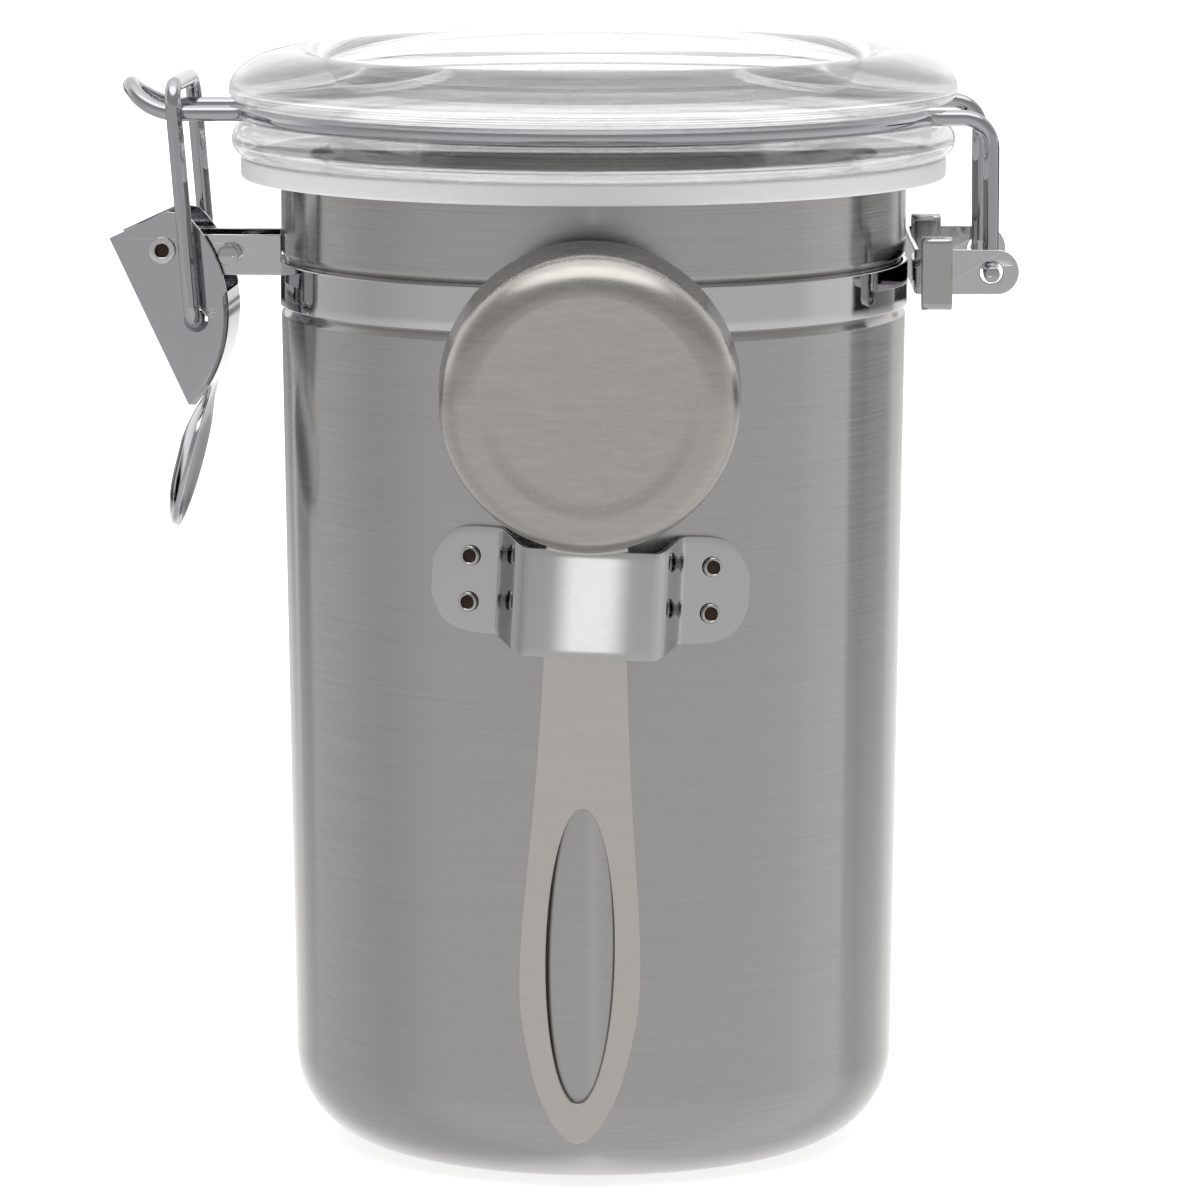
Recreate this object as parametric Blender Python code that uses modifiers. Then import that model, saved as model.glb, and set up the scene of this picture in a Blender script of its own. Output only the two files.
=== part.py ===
"""Coffee canister with a hinged clear lid, a wire bail, an over-centre latch and a scoop in a strap.

Metres, +Z up. The origin is the middle of the flat base, on the can's axis. The hinge is at +X, the latch
at -X and the scoop at -Y. Run it with blender --background --python part.py or from the text editor.
"""

import math

import bmesh
import bpy
from mathutils import Matrix, Vector

MM = 0.001

# Fits and mesh steps shared by all pieces
GAP = 0.3 * MM
OVERRUN = 2.0 * MM
MERGE = 0.002 * MM
ROUND_STEPS = 60
SMALL_STEPS = 20
SMOOTH_ANGLE = math.radians(35)

# Can: drawn and rolled steel sheet
CAN_RADIUS = 55.0 * MM
CAN_TAPER = 2.0 * MM
CAN_WALL = 0.8 * MM
CAN_CORNER = 16.0 * MM
CAN_RIM_Z = 173.6 * MM
RIM_CURL = 0.8 * MM
GROOVE_DEPTH = 0.8 * MM
GROOVE_SLOPE = 1.2 * MM
CURL_STEPS = 5
CORNER_STEPS = 7
# the lid, bail, latch and hinge go out with the seal, which stands this far over the wall
SEAL_OVERHANG = 7.0 * MM
SEAL_RADIUS = CAN_RADIUS + SEAL_OVERHANG

# Clamp band that sits in the groove, with its two latch ears
BAND_Z = 152.9 * MM
BAND_HEIGHT = 7.9 * MM
BAND_SHEET = 0.9 * MM
EAR_HEIGHT = 7.1 * MM
EAR_LIFT = 5.0 * MM
EAR_HALF_SPAN = 6.0 * MM
EAR_ROUND = 2.6 * MM

# Latch: places are measured from the lever's pivot, in the latch's own turned frame
LATCH_OUT = 12.8 * MM
LATCH_X = -(SEAL_RADIUS + LATCH_OUT)
LATCH_Z = 158.8 * MM
LATCH_SKEW = math.radians(5.0)
LEVER_SHEET = 0.9 * MM
CHEEK_HALF_SPAN = 8.0 * MM
CHEEK_ARC_RADIUS = 24.65 * MM
CHEEK_ARC_X = -13.1 * MM
CHEEK_ARC_Z = -11.2 * MM
CHEEK_ARC_TOP = math.radians(45.0)
CHEEK_ARC_FOOT = math.radians(-40.5)
CHEEK_TOP_X = 0.8 * MM
CHEEK_TOP_Z = 6.8 * MM
CHEEK_CORNER_X = -9.4 * MM
CHEEK_CORNER_Z = 2.05 * MM
CHEEK_FOOT_X = 4.4 * MM
CHEEK_FOOT_Z = -27.2 * MM
ARC_STEPS = 14
WEB_INSET = 0.2 * MM
WEB_TOP = math.radians(9.0)
WEB_FOOT = math.radians(-31.0)
WEB_STEPS = 7
TAB_LENGTH = 26.0 * MM
TAB_LEAN = 6.6 * MM
TAB_HALF_WIDTH = 10.2 * MM
TAB_NECK_HALF_WIDTH = 4.9 * MM
TAB_CUP = 2.8 * MM
TAB_COLUMNS = 6
# along the tab: share of its length, of its width above the neck's, and of its cup
TAB_SHARES = (
    (0.12, 0.00, 0.25),
    (0.26, 0.55, 0.70),
    (0.42, 0.92, 1.00),
    (0.58, 1.00, 1.00),
    (0.72, 0.93, 0.95),
    (0.84, 0.62, 0.75),
    (0.93, 0.02, 0.50),
    (0.985, -0.90, 0.22),
    (1.0, -1.50, 0.08),
)
TAB_LEAN_SHARE = 0.75

# Wire link that hooks over the bail's nose
LINK_WIRE = 1.4 * MM
LINK_HALF_WIDTH = 13.0 * MM
LINK_PIVOT_X = 5.9 * MM
LINK_PIVOT_Z = -11.9 * MM
LINK_LEAN = 3.4 * MM
LINK_RISE = 41.0 * MM
LINK_TOP_BEND = 4.0 * MM
LINK_FOOT_BEND = 2.6 * MM
LINK_END_PAST = 0.8 * MM
LINK_HOLE = 2.05 * MM
LINK_HOLE_DROP = 0.3 * MM

# Hollow rivets that the lever turns on, and the solid pin that ties the ears and stops the lever
EYELET_BARREL = 1.7 * MM
EYELET_BORE = 1.25 * MM
EYELET_FLANGE = 2.35 * MM
EYELET_LIP = 0.35 * MM
PIN_SHANK = 1.45 * MM
PIN_HEAD = 1.9 * MM
PIN_HEAD_LENGTH = 2.9 * MM
PIN_CHAMFER = 0.35 * MM
PIN_Z = -0.7 * MM

# Hinge bracket, the clips on its ears and the bail's axis
HINGE_OUT = 7.0 * MM
HINGE_X = SEAL_RADIUS + HINGE_OUT
HINGE_Z = 156.1 * MM
HINGE_HALF_SPAN = 22.0 * MM
HINGE_EAR_HEIGHT = 7.8 * MM
HINGE_EAR_REACH = 4.8 * MM
HINGE_SHEET = 0.9 * MM
HINGE_HOLE = 2.0 * MM
HINGE_HOLE_LIFT = 0.25 * MM
CLIP_DEPTH = 5.3 * MM
CLIP_HEIGHT = 12.7 * MM
CLIP_SHEET = 0.7 * MM
CLIP_ROUND = 1.2 * MM
CLIP_STEPS = 2

# Bail: one wire that rings the lid, with a hooked nose at the latch and two hinge legs
BAIL_WIRE = 1.4 * MM
BAIL_INSET = 1.0 * MM
BAIL_RING = SEAL_RADIUS - BAIL_INSET
BAIL_Z = 182.9 * MM
BAIL_LEG_BEND = 5.0 * MM
BAIL_FOOT_BEND = 2.0 * MM
BAIL_RING_BEND = 3.5 * MM
BAIL_END_PAST = 2.2 * MM
BAIL_LEG_GAP = 0.55 * MM
NOSE_HALF_WIDTH = 9.5 * MM
NOSE_OUT = 11.5 * MM
NOSE_HOOK_X = -(BAIL_RING + NOSE_OUT)
NOSE_HOOK_LENGTH = 10.2 * MM
NOSE_HOOK_RADIUS = 11.0 * MM
RING_STEP = math.radians(6)
RING_LEAD = math.radians(5)
NOSE_STEPS = 14
BEND_STEPS = 5

# Lid: moulded clear acrylic
LID_FOOT_RADIUS = SEAL_RADIUS + GAP
RIM_PROUD = 1.8 * MM
LID_RADIUS = LID_FOOT_RADIUS + RIM_PROUD
LID_TOP_Z = 193.5 * MM
LID_EDGE_Z = 186.5 * MM
CROWN_WIDTH = 11.6 * MM
LID_CROWN_RADIUS = LID_RADIUS - CROWN_WIDTH
DISH_WIDTH = 5.7 * MM
DISH_RADIUS = LID_CROWN_RADIUS - DISH_WIDTH
DISH_FLOOR_Z = 187.0 * MM
DISH_SLOPE = 1.2 * MM
DISH_FILLET = 2.2 * MM
DISH_LIP = 3.4 * MM
LID_UNDER_RIM = 1.5 * MM
BULGE_PROUD = 1.3 * MM
BULGE_RADIUS = LID_FOOT_RADIUS + BULGE_PROUD
BULGE_Z = 178.0 * MM
BULGE_WIDTH = 2.4 * MM
LID_FOOT_Z = 175.3 * MM
BOSS_INSET = 5.2 * MM
BOSS_RADIUS = CAN_RADIUS - BOSS_INSET
BOSS_WALL = 3.4 * MM
BOSS_DROP = 4.2 * MM
LID_FLOOR = 4.4 * MM
LID_ARC_STEPS = 5

# Seal: silicone ring under the lid
SEAL_SKIRT = 2.5 * MM
SEAL_SKIRT_WALL = 2.6 * MM
SEAL_EDGE = 0.5 * MM

# Scoop: a pressed bowl on a flat handle that leans outward in the strap
SCOOP_X = -1.2 * MM
SCOOP_LEAN = math.radians(3.8)
SCOOP_ROLL = math.radians(1.0)
SCOOP_STANDOFF = 4.7 * MM
SCOOP_OUT = CAN_RADIUS + SCOOP_STANDOFF
BOWL_RADIUS = 25.5 * MM
BOWL_DEPTH = 18.5 * MM
BOWL_CORNER = 6.5 * MM
BOWL_TAPER = 0.3 * MM
BOWL_WALL = 0.8 * MM
BOWL_STEPS = 44
BOWL_CORNER_STEPS = 6
HANDLE_SHEET = 1.0 * MM
HANDLE_LENGTH = 105.5 * MM
HANDLE_HALF_WIDTH = 10.4 * MM
# along the handle from its tip: share of its length and of its widest half width
HANDLE_SHARES = (
    (0.0, 0.0),
    (0.006, 0.18),
    (0.035, 0.43),
    (0.10, 0.72),
    (0.20, 0.94),
    (0.27, 1.0),
    (0.38, 0.965),
    (0.50, 0.87),
    (0.63, 0.775),
    (0.81, 0.685),
    (1.0, 0.66),
)
OVAL_HALF_LENGTH = 26.1 * MM
OVAL_HALF_WIDTH = 5.9 * MM
OVAL_FROM_TIP = 33.2 * MM
OVAL_STEPS = 32
FOOT_DEPTH = 9.0 * MM
FOOT_HALF_ANGLE = math.radians(15)
FOOT_STEPS = 6

# Strap: a spot-riveted bridge of polished sheet that holds the handle
STRAP_X = -0.6 * MM
STRAP_Z = 103.8 * MM
STRAP_HEIGHT = 18.5 * MM
STRAP_SHEET = 0.8 * MM
STRAP_TILT = math.radians(2.8)
STRAP_LIFT = 2.1 * MM
BRIDGE_HALF_WIDTH = 11.5 * MM
BRIDGE_SLOT = 6.8 * MM
BRIDGE_BEND = 1.2 * MM
RISER_HALF_WIDTH = 14.5 * MM
FLANGE_HALF_WIDTH = 26.8 * MM
FLANGE_STEPS = 7
STRAP_ROWS = 4
RIVET_X = 20.3 * MM
RIVET_Z = 4.0 * MM
RIVET_SHANK = 1.05 * MM
RIVET_HEAD = 1.75 * MM
RIVET_PROUD = 0.5 * MM
RIVET_DIMPLE = 0.85 * MM
RIVET_EDGE = 0.2 * MM

# Sizes that follow from those above
BAND_INNER = CAN_RADIUS - GROOVE_DEPTH + GAP
BAND_OUTER = BAND_INNER + BAND_SHEET
BAND_TOP = BAND_Z + BAND_HEIGHT / 2
BAND_FOOT = BAND_Z - BAND_HEIGHT / 2
SEAL_UNDER_Z = CAN_RIM_Z + GAP
SEAL_TOP_Z = LID_FOOT_Z - GAP
STRAP_TOP = STRAP_Z + STRAP_HEIGHT / 2
BOWL_Z = STRAP_TOP + 2 * GAP + HANDLE_SHEET + GAP + BOWL_RADIUS

# Planes that flat outlines are drawn in: seen from above, from the front and from the end
PLAN = Matrix.Identity(4)
FRONT = Matrix(((1, 0, 0, 0), (0, 0, -1, 0), (0, 1, 0, 0), (0, 0, 0, 1)))
END = Matrix(((0, 0, 1, 0), (1, 0, 0, 0), (0, 1, 0, 0), (0, 0, 0, 1)))


def clear_scene():
    """Removes the objects that the file starts with."""
    for found in list(bpy.data.objects):
        bpy.data.objects.remove(found, do_unlink=True)


def make_collection(name):
    made = bpy.data.collections.new(name)
    bpy.context.scene.collection.children.link(made)
    return made


def material(name, colour, metallic, roughness, transmission=0.0):
    """A Principled BSDF material with plain values."""
    made = bpy.data.materials.new(name)
    made.use_nodes = True
    shader = made.node_tree.nodes["Principled BSDF"]
    shader.inputs["Base Color"].default_value = (*colour, 1.0)
    shader.inputs["Metallic"].default_value = metallic
    shader.inputs["Roughness"].default_value = roughness
    shader.inputs["Transmission Weight"].default_value = transmission
    made.diffuse_color = (*colour, 1.0)
    return made


def add_object(name, data, collection, finish=None):
    made = bpy.data.objects.new(name, data)
    collection.objects.link(made)
    if finish:
        data.materials.append(finish)
    return made


def helper(name, data):
    """An object that only cuts or joins others."""
    made = add_object(name, data, CUTTERS)
    made.hide_render = True
    made.display_type = "WIRE"
    return made


def smooth(mesh):
    mesh.shade_smooth()
    mesh.set_sharp_from_angle(angle=SMOOTH_ANGLE)


def ellipse_arc(x, y, width, height, start, end, steps):
    """Points on an ellipse's arc, from one angle to the other."""
    turn = (end - start) / steps
    return [
        (x + width * math.cos(start + turn * i), y + height * math.sin(start + turn * i))
        for i in range(steps + 1)
    ]


def arc(x, y, radius, start, end, steps):
    return ellipse_arc(x, y, radius, radius, start, end, steps)


def turned(name, profile, collection, finish=None, closed=False, steps=ROUND_STEPS):
    """A profile of (radius, height) points turned about Z. It runs down its outer side."""
    mesh = bpy.data.meshes.new(name)
    edges = [(i, i + 1) for i in range(len(profile) - 1)]
    if closed:
        edges.append((len(profile) - 1, 0))
    mesh.from_pydata([(radius, 0, height) for radius, height in profile], edges, [])
    made = add_object(name, mesh, collection, finish)
    screw = made.modifiers.new("Turn", "SCREW")
    screw.steps = screw.render_steps = steps
    screw.use_merge_vertices = True
    screw.merge_threshold = MERGE
    screw.use_smooth_shade = True
    return made


def thicken(made, thickness):
    """Gives an open sheet its thickness, behind its face."""
    shell = made.modifiers.new("Sheet", "SOLIDIFY")
    shell.thickness = thickness
    shell.offset = -1.0
    shell.use_even_offset = True
    return made


def combine(made, other, operation):
    step = made.modifiers.new(operation.title(), "BOOLEAN")
    step.operation = operation
    step.solver = "EXACT"
    step.object = other
    return made


def finished_mesh(made, name):
    """The object's mesh with its modifiers applied, or a curve's mesh with its caps welded."""
    bpy.context.view_layer.update()
    graph = bpy.context.evaluated_depsgraph_get()
    mesh = bpy.data.meshes.new_from_object(made.evaluated_get(graph))
    mesh.name = name
    edit = bmesh.new()
    edit.from_mesh(mesh)
    bmesh.ops.remove_doubles(edit, verts=edit.verts, dist=MERGE)
    bmesh.ops.recalc_face_normals(edit, faces=edit.faces)
    edit.to_mesh(mesh)
    edit.free()
    mesh.materials.clear()
    return mesh


def plate(name, outline, thickness, plane, holes=()):
    """A flat plate's mesh: an outline and its holes, drawn in a plane, with its middle on it."""
    curve = bpy.data.curves.new(name, "CURVE")
    curve.dimensions = "2D"
    curve.fill_mode = "BOTH"
    curve.extrude = thickness / 2
    for points in (outline, *holes):
        line = curve.splines.new("POLY")
        line.points.add(len(points) - 1)
        line.use_cyclic_u = True
        for point, (x, y) in zip(line.points, points):
            point.co = (x, y, 0, 1)
    drawn = add_object(name, curve, CUTTERS)
    mesh = finished_mesh(drawn, name)
    bpy.data.objects.remove(drawn)
    bpy.data.curves.remove(curve)
    mesh.transform(plane)
    return mesh


def wire(name, route, radius, collection, finish):
    """A round wire along a route, with filled ends."""
    curve = bpy.data.curves.new(name, "CURVE")
    curve.dimensions = "3D"
    curve.bevel_depth = radius
    curve.bevel_resolution = 2
    curve.use_fill_caps = True
    line = curve.splines.new("POLY")
    line.points.add(len(route) - 1)
    line.use_smooth = True
    for point, place in zip(line.points, route):
        point.co = (*place, 1)
    return add_object(name, curve, collection, finish)


def bent(points, bends):
    """A route of straight runs with round bends: one radius for each inner point, or 0 for none."""
    route = [Vector(points[0])]
    for before, corner, after, radius in zip(points, points[1:], points[2:], bends):
        corner = Vector(corner)
        if not radius:
            route.append(corner)
            continue
        back = (Vector(before) - corner).normalized()
        ahead = (Vector(after) - corner).normalized()
        half = back.angle(ahead) / 2
        middle = corner + (back + ahead).normalized() * (radius / math.sin(half))
        start = corner + back * (radius / math.tan(half)) - middle
        end = corner + ahead * (radius / math.tan(half)) - middle
        for i in range(BEND_STEPS + 1):
            route.append(middle + start.slerp(end, i / BEND_STEPS) * radius)
    route.append(Vector(points[-1]))
    return route


def grid(name, rows):
    """An open sheet through rows of points."""
    wide = len(rows[0])
    faces = [
        (i * wide + j, i * wide + j + 1, (i + 1) * wide + j + 1, (i + 1) * wide + j)
        for i in range(len(rows) - 1)
        for j in range(wide - 1)
    ]
    mesh = bpy.data.meshes.new(name)
    mesh.from_pydata([point for row in rows for point in row], [], faces)
    return mesh


def set_piece(name, mesh, place, finish, parent=None):
    """A piece made of a small mesh, set at its place under its parent."""
    mesh = mesh.copy()
    mesh.name = name
    smooth(mesh)
    made = add_object(name, mesh, PARTS, finish)
    made.parent = parent
    made.matrix_local = place
    return made


def frame(name, place, parent=None):
    """An empty that carries pieces, on a joint's axis where they move."""
    made = bpy.data.objects.new(name, None)
    PARTS.objects.link(made)
    made.parent = parent
    made.matrix_local = place
    return made


def held(made, parent):
    """Puts a piece, drawn about its parent's origin, in its place."""
    made.parent = parent
    return made


def circle(x, y, radius, steps=SMALL_STEPS):
    return arc(x, y, radius, 0, 2 * math.pi, steps)[:-1]


def can_radius_at(height):
    """The can's outer radius on its tapered wall."""
    straight = BAND_FOOT - CAN_CORNER
    return CAN_RADIUS - CAN_TAPER * min(1.0, max(0.0, (BAND_FOOT - height) / straight))


def make_can():
    """The can: its rolled rim, neck, band groove, tapered wall, round corner and flat base."""
    groove = CAN_RADIUS - GROOVE_DEPTH
    curl_z = CAN_RIM_Z - CAN_WALL - RIM_CURL
    foot = CAN_RADIUS - CAN_TAPER
    profile = arc(CAN_RADIUS + RIM_CURL, curl_z, RIM_CURL, math.radians(-40), math.pi, CURL_STEPS)
    profile += [
        (CAN_RADIUS, BAND_TOP + GAP + GROOVE_SLOPE),
        (groove, BAND_TOP + GAP),
        (groove, BAND_FOOT - GAP),
        (CAN_RADIUS, BAND_FOOT - GAP - GROOVE_SLOPE),
    ]
    profile += arc(foot - CAN_CORNER, CAN_CORNER, CAN_CORNER, 0, -math.pi / 2, CORNER_STEPS)
    profile.append((0, 0))
    can = turned("can_body", profile, PARTS, BRUSHED)
    return thicken(can, CAN_WALL)


def latch_to_world():
    """The latch's frame: its pivot, turned a little about the vertical."""
    return Matrix.Translation((LATCH_X, 0, LATCH_Z)) @ Matrix.Rotation(-LATCH_SKEW, 4, "Z")


def ear_reach(side, radius):
    """How far from the pivot, along an ear, a circle round the can's axis is met."""
    place = latch_to_world()
    start = (place @ Vector((0, side * EAR_HALF_SPAN, 0))).xy
    along = place.col[0].xy
    across = start.dot(along)
    return -across - math.sqrt(across**2 - start.length_squared + radius**2)


def make_band():
    """The clamp band: a strap in the groove whose two ends are turned out as the latch ears."""
    place = latch_to_world()
    middle = (BAND_INNER + BAND_OUTER) / 2
    ends = [
        (place @ Vector((ear_reach(side, middle), side * EAR_HALF_SPAN, 0))).xy
        for side in (-1, 1)
    ]
    turn = 2 * math.pi / ROUND_STEPS
    first = math.atan2(ends[0].y, ends[0].x)
    last = math.atan2(ends[1].y, ends[1].x)
    angles = [first]
    angles += [i * turn for i in range(math.ceil(first / turn), math.floor(last / turn) + 1)]
    angles.append(last)
    outline = [(BAND_OUTER * math.cos(a), BAND_OUTER * math.sin(a)) for a in angles]
    outline += [(BAND_INNER * math.cos(a), BAND_INNER * math.sin(a)) for a in reversed(angles)]
    mesh = plate("clamp_band", outline, BAND_HEIGHT, PLAN)
    mesh.transform(Matrix.Translation((0, 0, BAND_Z)))
    band = add_object("clamp_band", mesh, PARTS, POLISHED)
    for name, side in (("ear_front", -1), ("ear_rear", 1)):
        ear = helper(name, make_ear(side))
        ear.matrix_world = place @ Matrix.Translation((0, side * EAR_HALF_SPAN, 0))
        combine(band, ear, "UNION")
    return band


def make_ear(side):
    """One latch ear: a cranked plate with round outer corners and holes for the rivet and the pin."""
    foot = BAND_Z + EAR_LIFT - EAR_HEIGHT / 2 - LATCH_Z
    top = foot + EAR_HEIGHT
    end = -EAR_HEIGHT / 2
    band_top = BAND_TOP - LATCH_Z
    root = ear_reach(side, BAND_INNER + GAP / 2)
    clear_root = ear_reach(side, CAN_RADIUS + GAP)
    quarter = math.pi / 2
    outline = [(root, foot), (root, band_top), (clear_root, band_top), (clear_root, top)]
    outline += arc(end + EAR_ROUND, top - EAR_ROUND, EAR_ROUND, quarter, 2 * quarter, BEND_STEPS)
    outline += arc(end + EAR_ROUND, foot + EAR_ROUND, EAR_ROUND, 2 * quarter, 3 * quarter, BEND_STEPS)
    holes = [
        circle(0, 0, EYELET_BARREL + GAP),
        circle(pin_x(), PIN_Z, PIN_SHANK + GAP),
    ]
    return plate("ear", outline, BAND_SHEET, FRONT, holes)


def pin_x():
    """Where the tie pin stands, so that the closed lever's curved edge rests against its head."""
    reach = CHEEK_ARC_RADIUS + PIN_HEAD + GAP
    rise = PIN_Z - CHEEK_ARC_Z
    return CHEEK_ARC_X + math.sqrt(reach**2 - rise**2)


def spindle(name, profile, steps=SMALL_STEPS, closed=False):
    """A small turned mesh that lies along Y."""
    made = turned(name, profile, CUTTERS, closed=closed, steps=steps)
    mesh = finished_mesh(made, name)
    bpy.data.objects.remove(made)
    mesh.transform(Matrix.Rotation(math.pi / 2, 4, "X"))
    return mesh


def make_pin(latch):
    """The tie pin through both ears: its heads stand in the way of the lever's cheeks."""
    head = EAR_HALF_SPAN + BAND_SHEET / 2 + GAP
    end = head + PIN_HEAD_LENGTH
    profile = [
        (0, end),
        (PIN_HEAD - PIN_CHAMFER, end),
        (PIN_HEAD, end - PIN_CHAMFER),
        (PIN_HEAD, head),
        (PIN_SHANK, head),
        (PIN_SHANK, -head),
        (PIN_HEAD, -head),
        (PIN_HEAD, PIN_CHAMFER - end),
        (PIN_HEAD - PIN_CHAMFER, -end),
        (0, -end),
    ]
    place = Matrix.Translation((pin_x(), 0, PIN_Z))
    return set_piece("tie_pin", spindle("pin", profile), place, POLISHED, latch)


def make_eyelets(latch):
    """The two hollow rivets, each through a cheek and the ear beside it."""
    outside = CHEEK_HALF_SPAN + LEVER_SHEET / 2 + GAP
    inside = EAR_HALF_SPAN - BAND_SHEET / 2 - GAP
    profile = [
        (EYELET_BORE, outside + EYELET_LIP),
        (EYELET_FLANGE, outside + EYELET_LIP),
        (EYELET_FLANGE, outside),
        (EYELET_BARREL, outside),
        (EYELET_BARREL, inside),
        (EYELET_FLANGE, inside),
        (EYELET_FLANGE, inside - EYELET_LIP),
        (EYELET_BORE, inside - EYELET_LIP),
    ]
    mesh = spindle("eyelet", profile, closed=True)
    set_piece("lever_eyelet_front", mesh, Matrix.Identity(4), POLISHED, latch)
    set_piece("lever_eyelet_rear", mesh, Matrix.Rotation(math.pi, 4, "Z"), POLISHED, latch)


def blade_rows():
    """The lever's web and thumb tab as rows across one sheet, from the web's top to the tab's tip."""
    radius = CHEEK_ARC_RADIUS - WEB_INSET
    line = arc(CHEEK_ARC_X, CHEEK_ARC_Z, radius, WEB_TOP, WEB_FOOT, WEB_STEPS)
    stations = [(x, z, CHEEK_HALF_SPAN, 0.0) for x, z in line]
    start_x, start_z = line[-1]
    for along, width, cup in TAB_SHARES:
        half = TAB_NECK_HALF_WIDTH + (TAB_HALF_WIDTH - TAB_NECK_HALF_WIDTH) * width
        lean = TAB_LEAN * (TAB_LEAN_SHARE * along + (1 - TAB_LEAN_SHARE) * along**2)
        stations.append((start_x - lean, start_z - TAB_LENGTH * along, half, TAB_CUP * cup))
    rows = []
    for x, z, half, cup in stations:
        shares = [1 - 2 * j / TAB_COLUMNS for j in range(TAB_COLUMNS + 1)]
        rows.append([(x - cup * (1 - share**2), half * share, z) for share in shares])
    return rows


def make_cheek():
    """One cheek: straight outer edge, curved inner edge and holes for the rivet and the link."""
    outline = arc(
        CHEEK_ARC_X, CHEEK_ARC_Z, CHEEK_ARC_RADIUS, CHEEK_ARC_FOOT, CHEEK_ARC_TOP, ARC_STEPS
    )
    outline += [
        (CHEEK_TOP_X, CHEEK_TOP_Z),
        (CHEEK_CORNER_X, CHEEK_CORNER_Z),
        (CHEEK_FOOT_X, CHEEK_FOOT_Z),
    ]
    holes = [
        circle(0, 0, EYELET_BARREL + GAP),
        circle(LINK_PIVOT_X, LINK_PIVOT_Z - LINK_HOLE_DROP, LINK_HOLE),
    ]
    return plate("cheek", outline, LEVER_SHEET, FRONT, holes)


def make_lever(lever):
    """The over-centre lever: two cheeks, the curved web that joins them and the cupped thumb tab."""
    blade = add_object("blade", grid("blade", blade_rows()), CUTTERS)
    thicken(blade, LEVER_SHEET)
    mesh = finished_mesh(blade, "latch_lever")
    bpy.data.objects.remove(blade)
    smooth(mesh)
    made = held(add_object("latch_lever", mesh, PARTS, CHROMED), lever)
    for name, side in (("cheek_front", -1), ("cheek_rear", 1)):
        cheek = held(helper(name, make_cheek()), lever)
        cheek.location.y = side * CHEEK_HALF_SPAN
        combine(made, cheek, "UNION")
    return made


def make_link(link):
    """The wire link: two legs turned in through the cheeks, and the crossbar over the nose."""
    end = CHEEK_HALF_SPAN - LEVER_SHEET / 2 - LINK_END_PAST
    points = [
        (0, -end, 0),
        (0, -LINK_HALF_WIDTH, 0),
        (-LINK_LEAN, -LINK_HALF_WIDTH, LINK_RISE),
        (-LINK_LEAN, LINK_HALF_WIDTH, LINK_RISE),
        (0, LINK_HALF_WIDTH, 0),
        (0, end, 0),
    ]
    bends = [LINK_FOOT_BEND, LINK_TOP_BEND, LINK_TOP_BEND, LINK_FOOT_BEND]
    return held(wire("latch_link", bent(points, bends), LINK_WIRE, PARTS, CHROMED), link)


def ear_outline(start, end, middle, height):
    """A hinge ear seen from the front: square at its root and round at its end."""
    radius = height / 2
    quarter = math.pi / 2
    outline = [(start, middle + radius), (start, middle - radius)]
    return outline + arc(end - radius, middle, radius, -quarter, quarter, 2 * BEND_STEPS)


def make_bracket():
    """The hinge bracket: a strip bent to a U, with its base against the band."""
    start = BAND_OUTER + GAP
    middle = HINGE_Z + HINGE_HOLE_LIFT
    base = [
        (-HINGE_HALF_SPAN, middle - HINGE_EAR_HEIGHT / 2),
        (HINGE_HALF_SPAN, middle - HINGE_EAR_HEIGHT / 2),
        (HINGE_HALF_SPAN, middle + HINGE_EAR_HEIGHT / 2),
        (-HINGE_HALF_SPAN, middle + HINGE_EAR_HEIGHT / 2),
    ]
    mesh = plate("hinge_bracket", base, HINGE_SHEET, END)
    mesh.transform(Matrix.Translation((start + HINGE_SHEET / 2, 0, 0)))
    made = add_object("hinge_bracket", mesh, PARTS, POLISHED)
    outline = ear_outline(start, HINGE_X + HINGE_EAR_REACH, middle, HINGE_EAR_HEIGHT)
    hole = circle(HINGE_X, middle, HINGE_HOLE)
    for name, side in (("hinge_ear_front", -1), ("hinge_ear_rear", 1)):
        ear = helper(name, plate(name, outline, HINGE_SHEET, FRONT, [hole]))
        ear.location.y = side * HINGE_HALF_SPAN
        combine(made, ear, "UNION")
    return made


def rounded_box(half_width, half_height, radius, steps):
    """A rectangle's outline about its middle, with round corners."""
    outline = []
    for i, (x, y) in enumerate(((1, 1), (-1, 1), (-1, -1), (1, -1))):
        start = i * math.pi / 2
        middle_x = x * (half_width - radius)
        middle_y = y * (half_height - radius)
        outline += arc(middle_x, middle_y, radius, start, start + math.pi / 2, steps)
    return outline


def make_clips():
    """The two clips: each a flat strip bent round one hinge ear, close to the can."""
    half_width = HINGE_SHEET / 2 + GAP + CLIP_SHEET
    half_height = CLIP_HEIGHT / 2
    outline = rounded_box(half_width, half_height, CLIP_ROUND, CLIP_STEPS)
    hole = rounded_box(
        half_width - CLIP_SHEET, half_height - CLIP_SHEET, CLIP_ROUND - CLIP_SHEET, CLIP_STEPS
    )
    start = BAND_OUTER + GAP + HINGE_SHEET + GAP
    for name, side in (("hinge_clip_front", -1), ("hinge_clip_rear", 1)):
        mesh = plate(name, outline, CLIP_DEPTH, END, [hole])
        mesh.transform(Matrix.Translation((start + CLIP_DEPTH / 2, side * HINGE_HALF_SPAN, HINGE_Z)))
        add_object(name, mesh, PARTS, POLISHED)


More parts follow.
